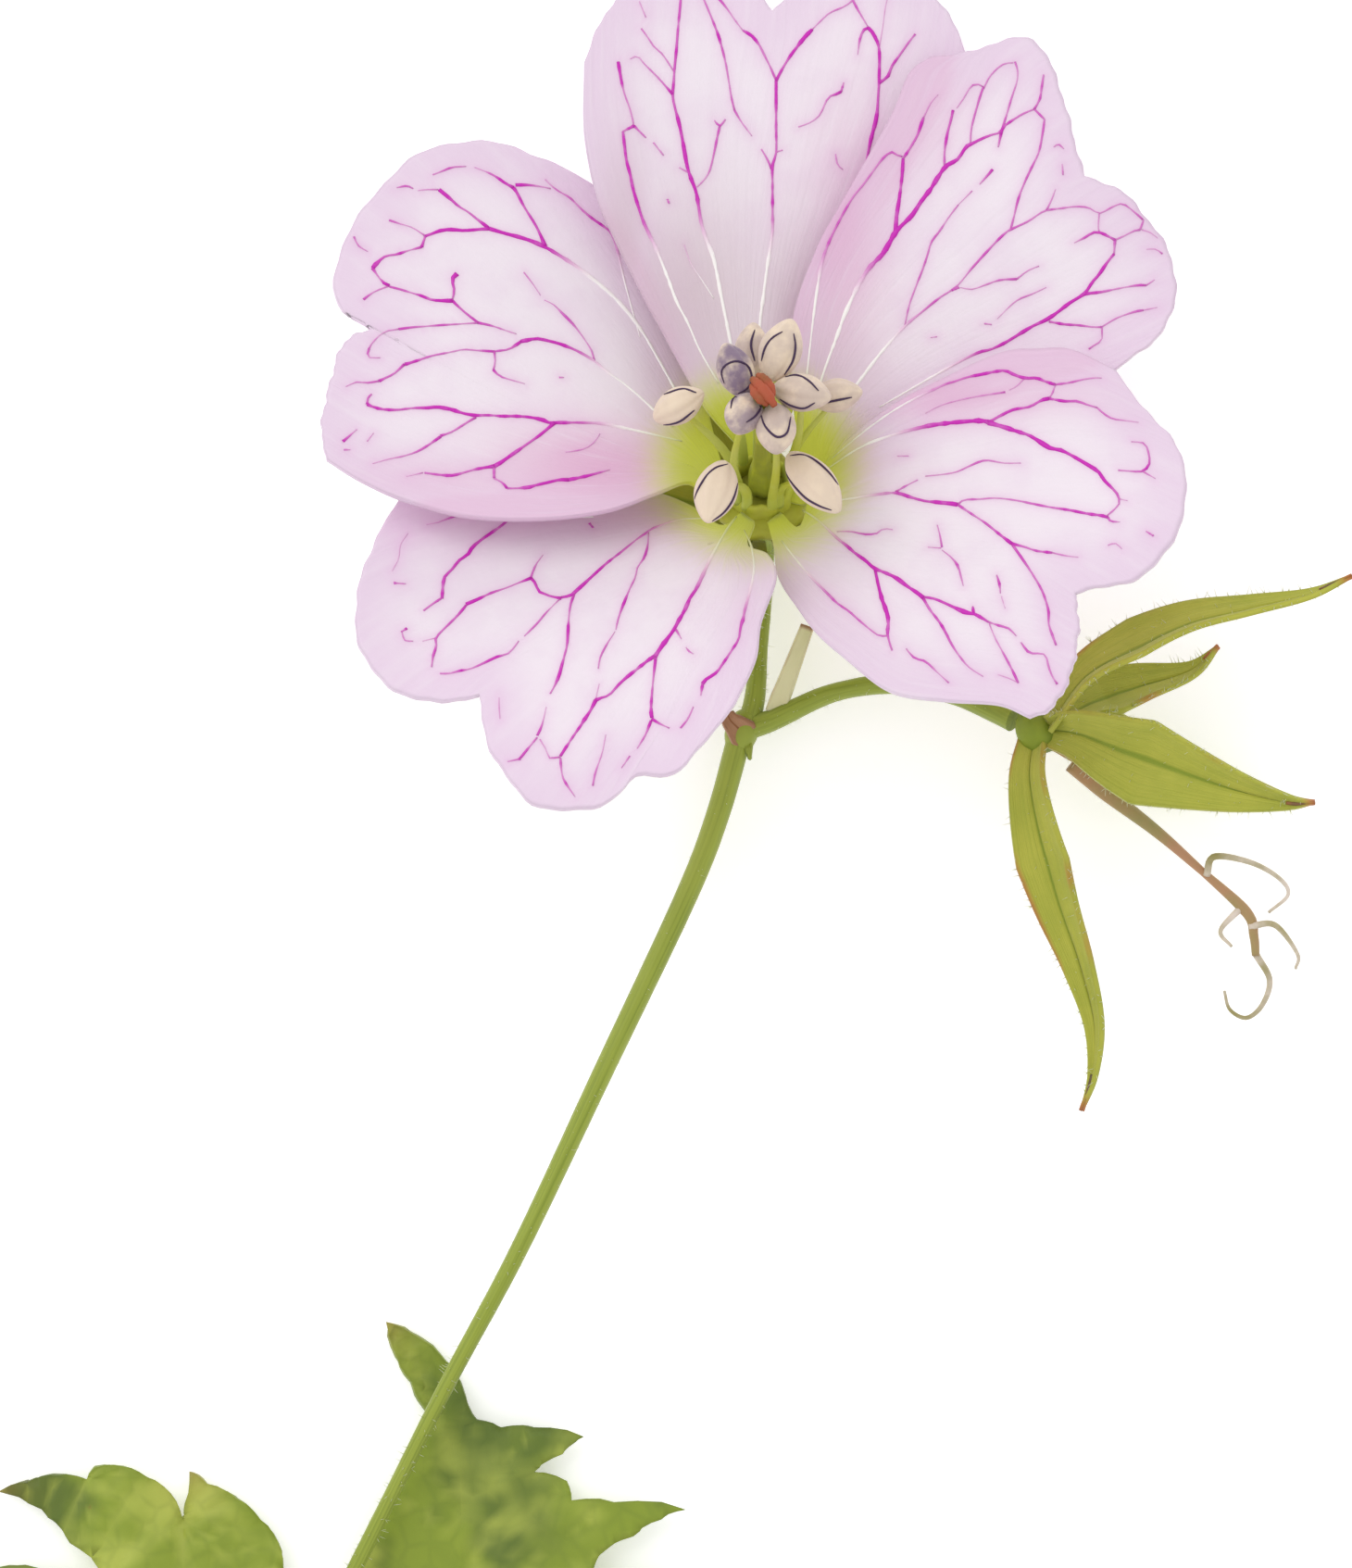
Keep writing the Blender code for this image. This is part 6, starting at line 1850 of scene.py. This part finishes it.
class GERANIUM_OT_stage(bpy.types.Operator):
    """Sets the pale floor, the soft light and the camera straight above"""

    bl_idname = "geranium.stage"
    bl_label = "Stage"

    def execute(self, context):
        stage = settings().stage
        bm = bmesh.new()
        bmesh.ops.create_grid(bm, x_segments=1, y_segments=1, size=FLOOR_HALF)
        for vertex in bm.verts:
            vertex.co.z = FLOOR_LEVEL
        mesh = bpy.data.meshes.new("floor")
        bm.to_mesh(mesh)
        bm.free()
        card, _, shader = start_material("floor_card", 0.8)
        shader.inputs["Base Color"].default_value = solid_colour(stage.floor)
        shader.inputs["Emission Color"].default_value = solid_colour(stage.floor)
        shader.inputs["Emission Strength"].default_value = stage.glow
        mesh.materials.append(card)
        floor = bpy.data.objects.new("floor", mesh)
        context.scene.collection.objects.link(floor)
        world = bpy.data.worlds.new("studio")
        world.use_nodes = True
        world.node_tree.nodes["Background"].inputs["Color"].default_value = (1, 1, 1, 1)
        world.node_tree.nodes["Background"].inputs["Strength"].default_value = stage.sky
        context.scene.world = world
        soft = bpy.data.lights.new("soft_box", "AREA")
        soft.size = LAMP_SIZE
        soft.energy = stage.lamp
        lamp = bpy.data.objects.new("soft_box", soft)
        lamp.location = LAMP_PLACE
        lamp.rotation_euler = (-lamp.location).to_track_quat("-Z", "Y").to_euler()
        context.scene.collection.objects.link(lamp)
        lens = bpy.data.cameras.new("camera")
        lens.lens = stage.lens
        lens.sensor_width = SENSOR
        lens.clip_start = CLIP_START
        camera = bpy.data.objects.new("camera", lens)
        camera.location = (-MIDDLE[0] * METRES, -MIDDLE[1] * METRES, EYE_HEIGHT * METRES)
        context.scene.collection.objects.link(camera)
        context.scene.camera = camera
        context.scene.view_settings.view_transform = "Standard"
        return {"FINISHED"}


BUILDERS = (
    GERANIUM_OT_petals,
    GERANIUM_OT_veins,
    GERANIUM_OT_calyx,
    GERANIUM_OT_stamens,
    GERANIUM_OT_pistil,
    GERANIUM_OT_stem,
    GERANIUM_OT_leaves,
    GERANIUM_OT_spent_bloom,
    GERANIUM_OT_stage,
)


class GERANIUM_PT_panel(bpy.types.Panel):
    """Lists the builders and the settings"""

    bl_idname = "GERANIUM_PT_panel"
    bl_label = "Hardy geranium"
    bl_space_type = "VIEW_3D"
    bl_region_type = "UI"
    bl_category = "Geranium"

    def draw(self, context):
        layout = self.layout
        for builder in BUILDERS:
            layout.operator(builder.bl_idname)
        for group in (settings().petals, settings().stamens, settings().greens, settings().stage):
            box = layout.box()
            for key in group.__annotations__:
                box.prop(group, key)


CLASSES = (
    PetalSettings,
    StamenSettings,
    GreenSettings,
    StageSettings,
    GeraniumSettings,
    *BUILDERS,
    GERANIUM_PT_panel,
)


def register():
    for entry in CLASSES:
        bpy.utils.register_class(entry)
    bpy.types.Scene.geranium = bpy.props.PointerProperty(type=GeraniumSettings)


def unregister():
    del bpy.types.Scene.geranium
    for entry in reversed(CLASSES):
        bpy.utils.unregister_class(entry)


def main():
    random.seed(7)
    register()
    bpy.ops.geranium.petals()
    bpy.ops.geranium.veins()
    bpy.ops.geranium.calyx()
    bpy.ops.geranium.stamens()
    bpy.ops.geranium.pistil()
    bpy.ops.geranium.stem()
    bpy.ops.geranium.leaves()
    bpy.ops.geranium.spent_bloom()
    bpy.ops.geranium.stage()
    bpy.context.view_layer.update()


if __name__ == "__main__":
    main()
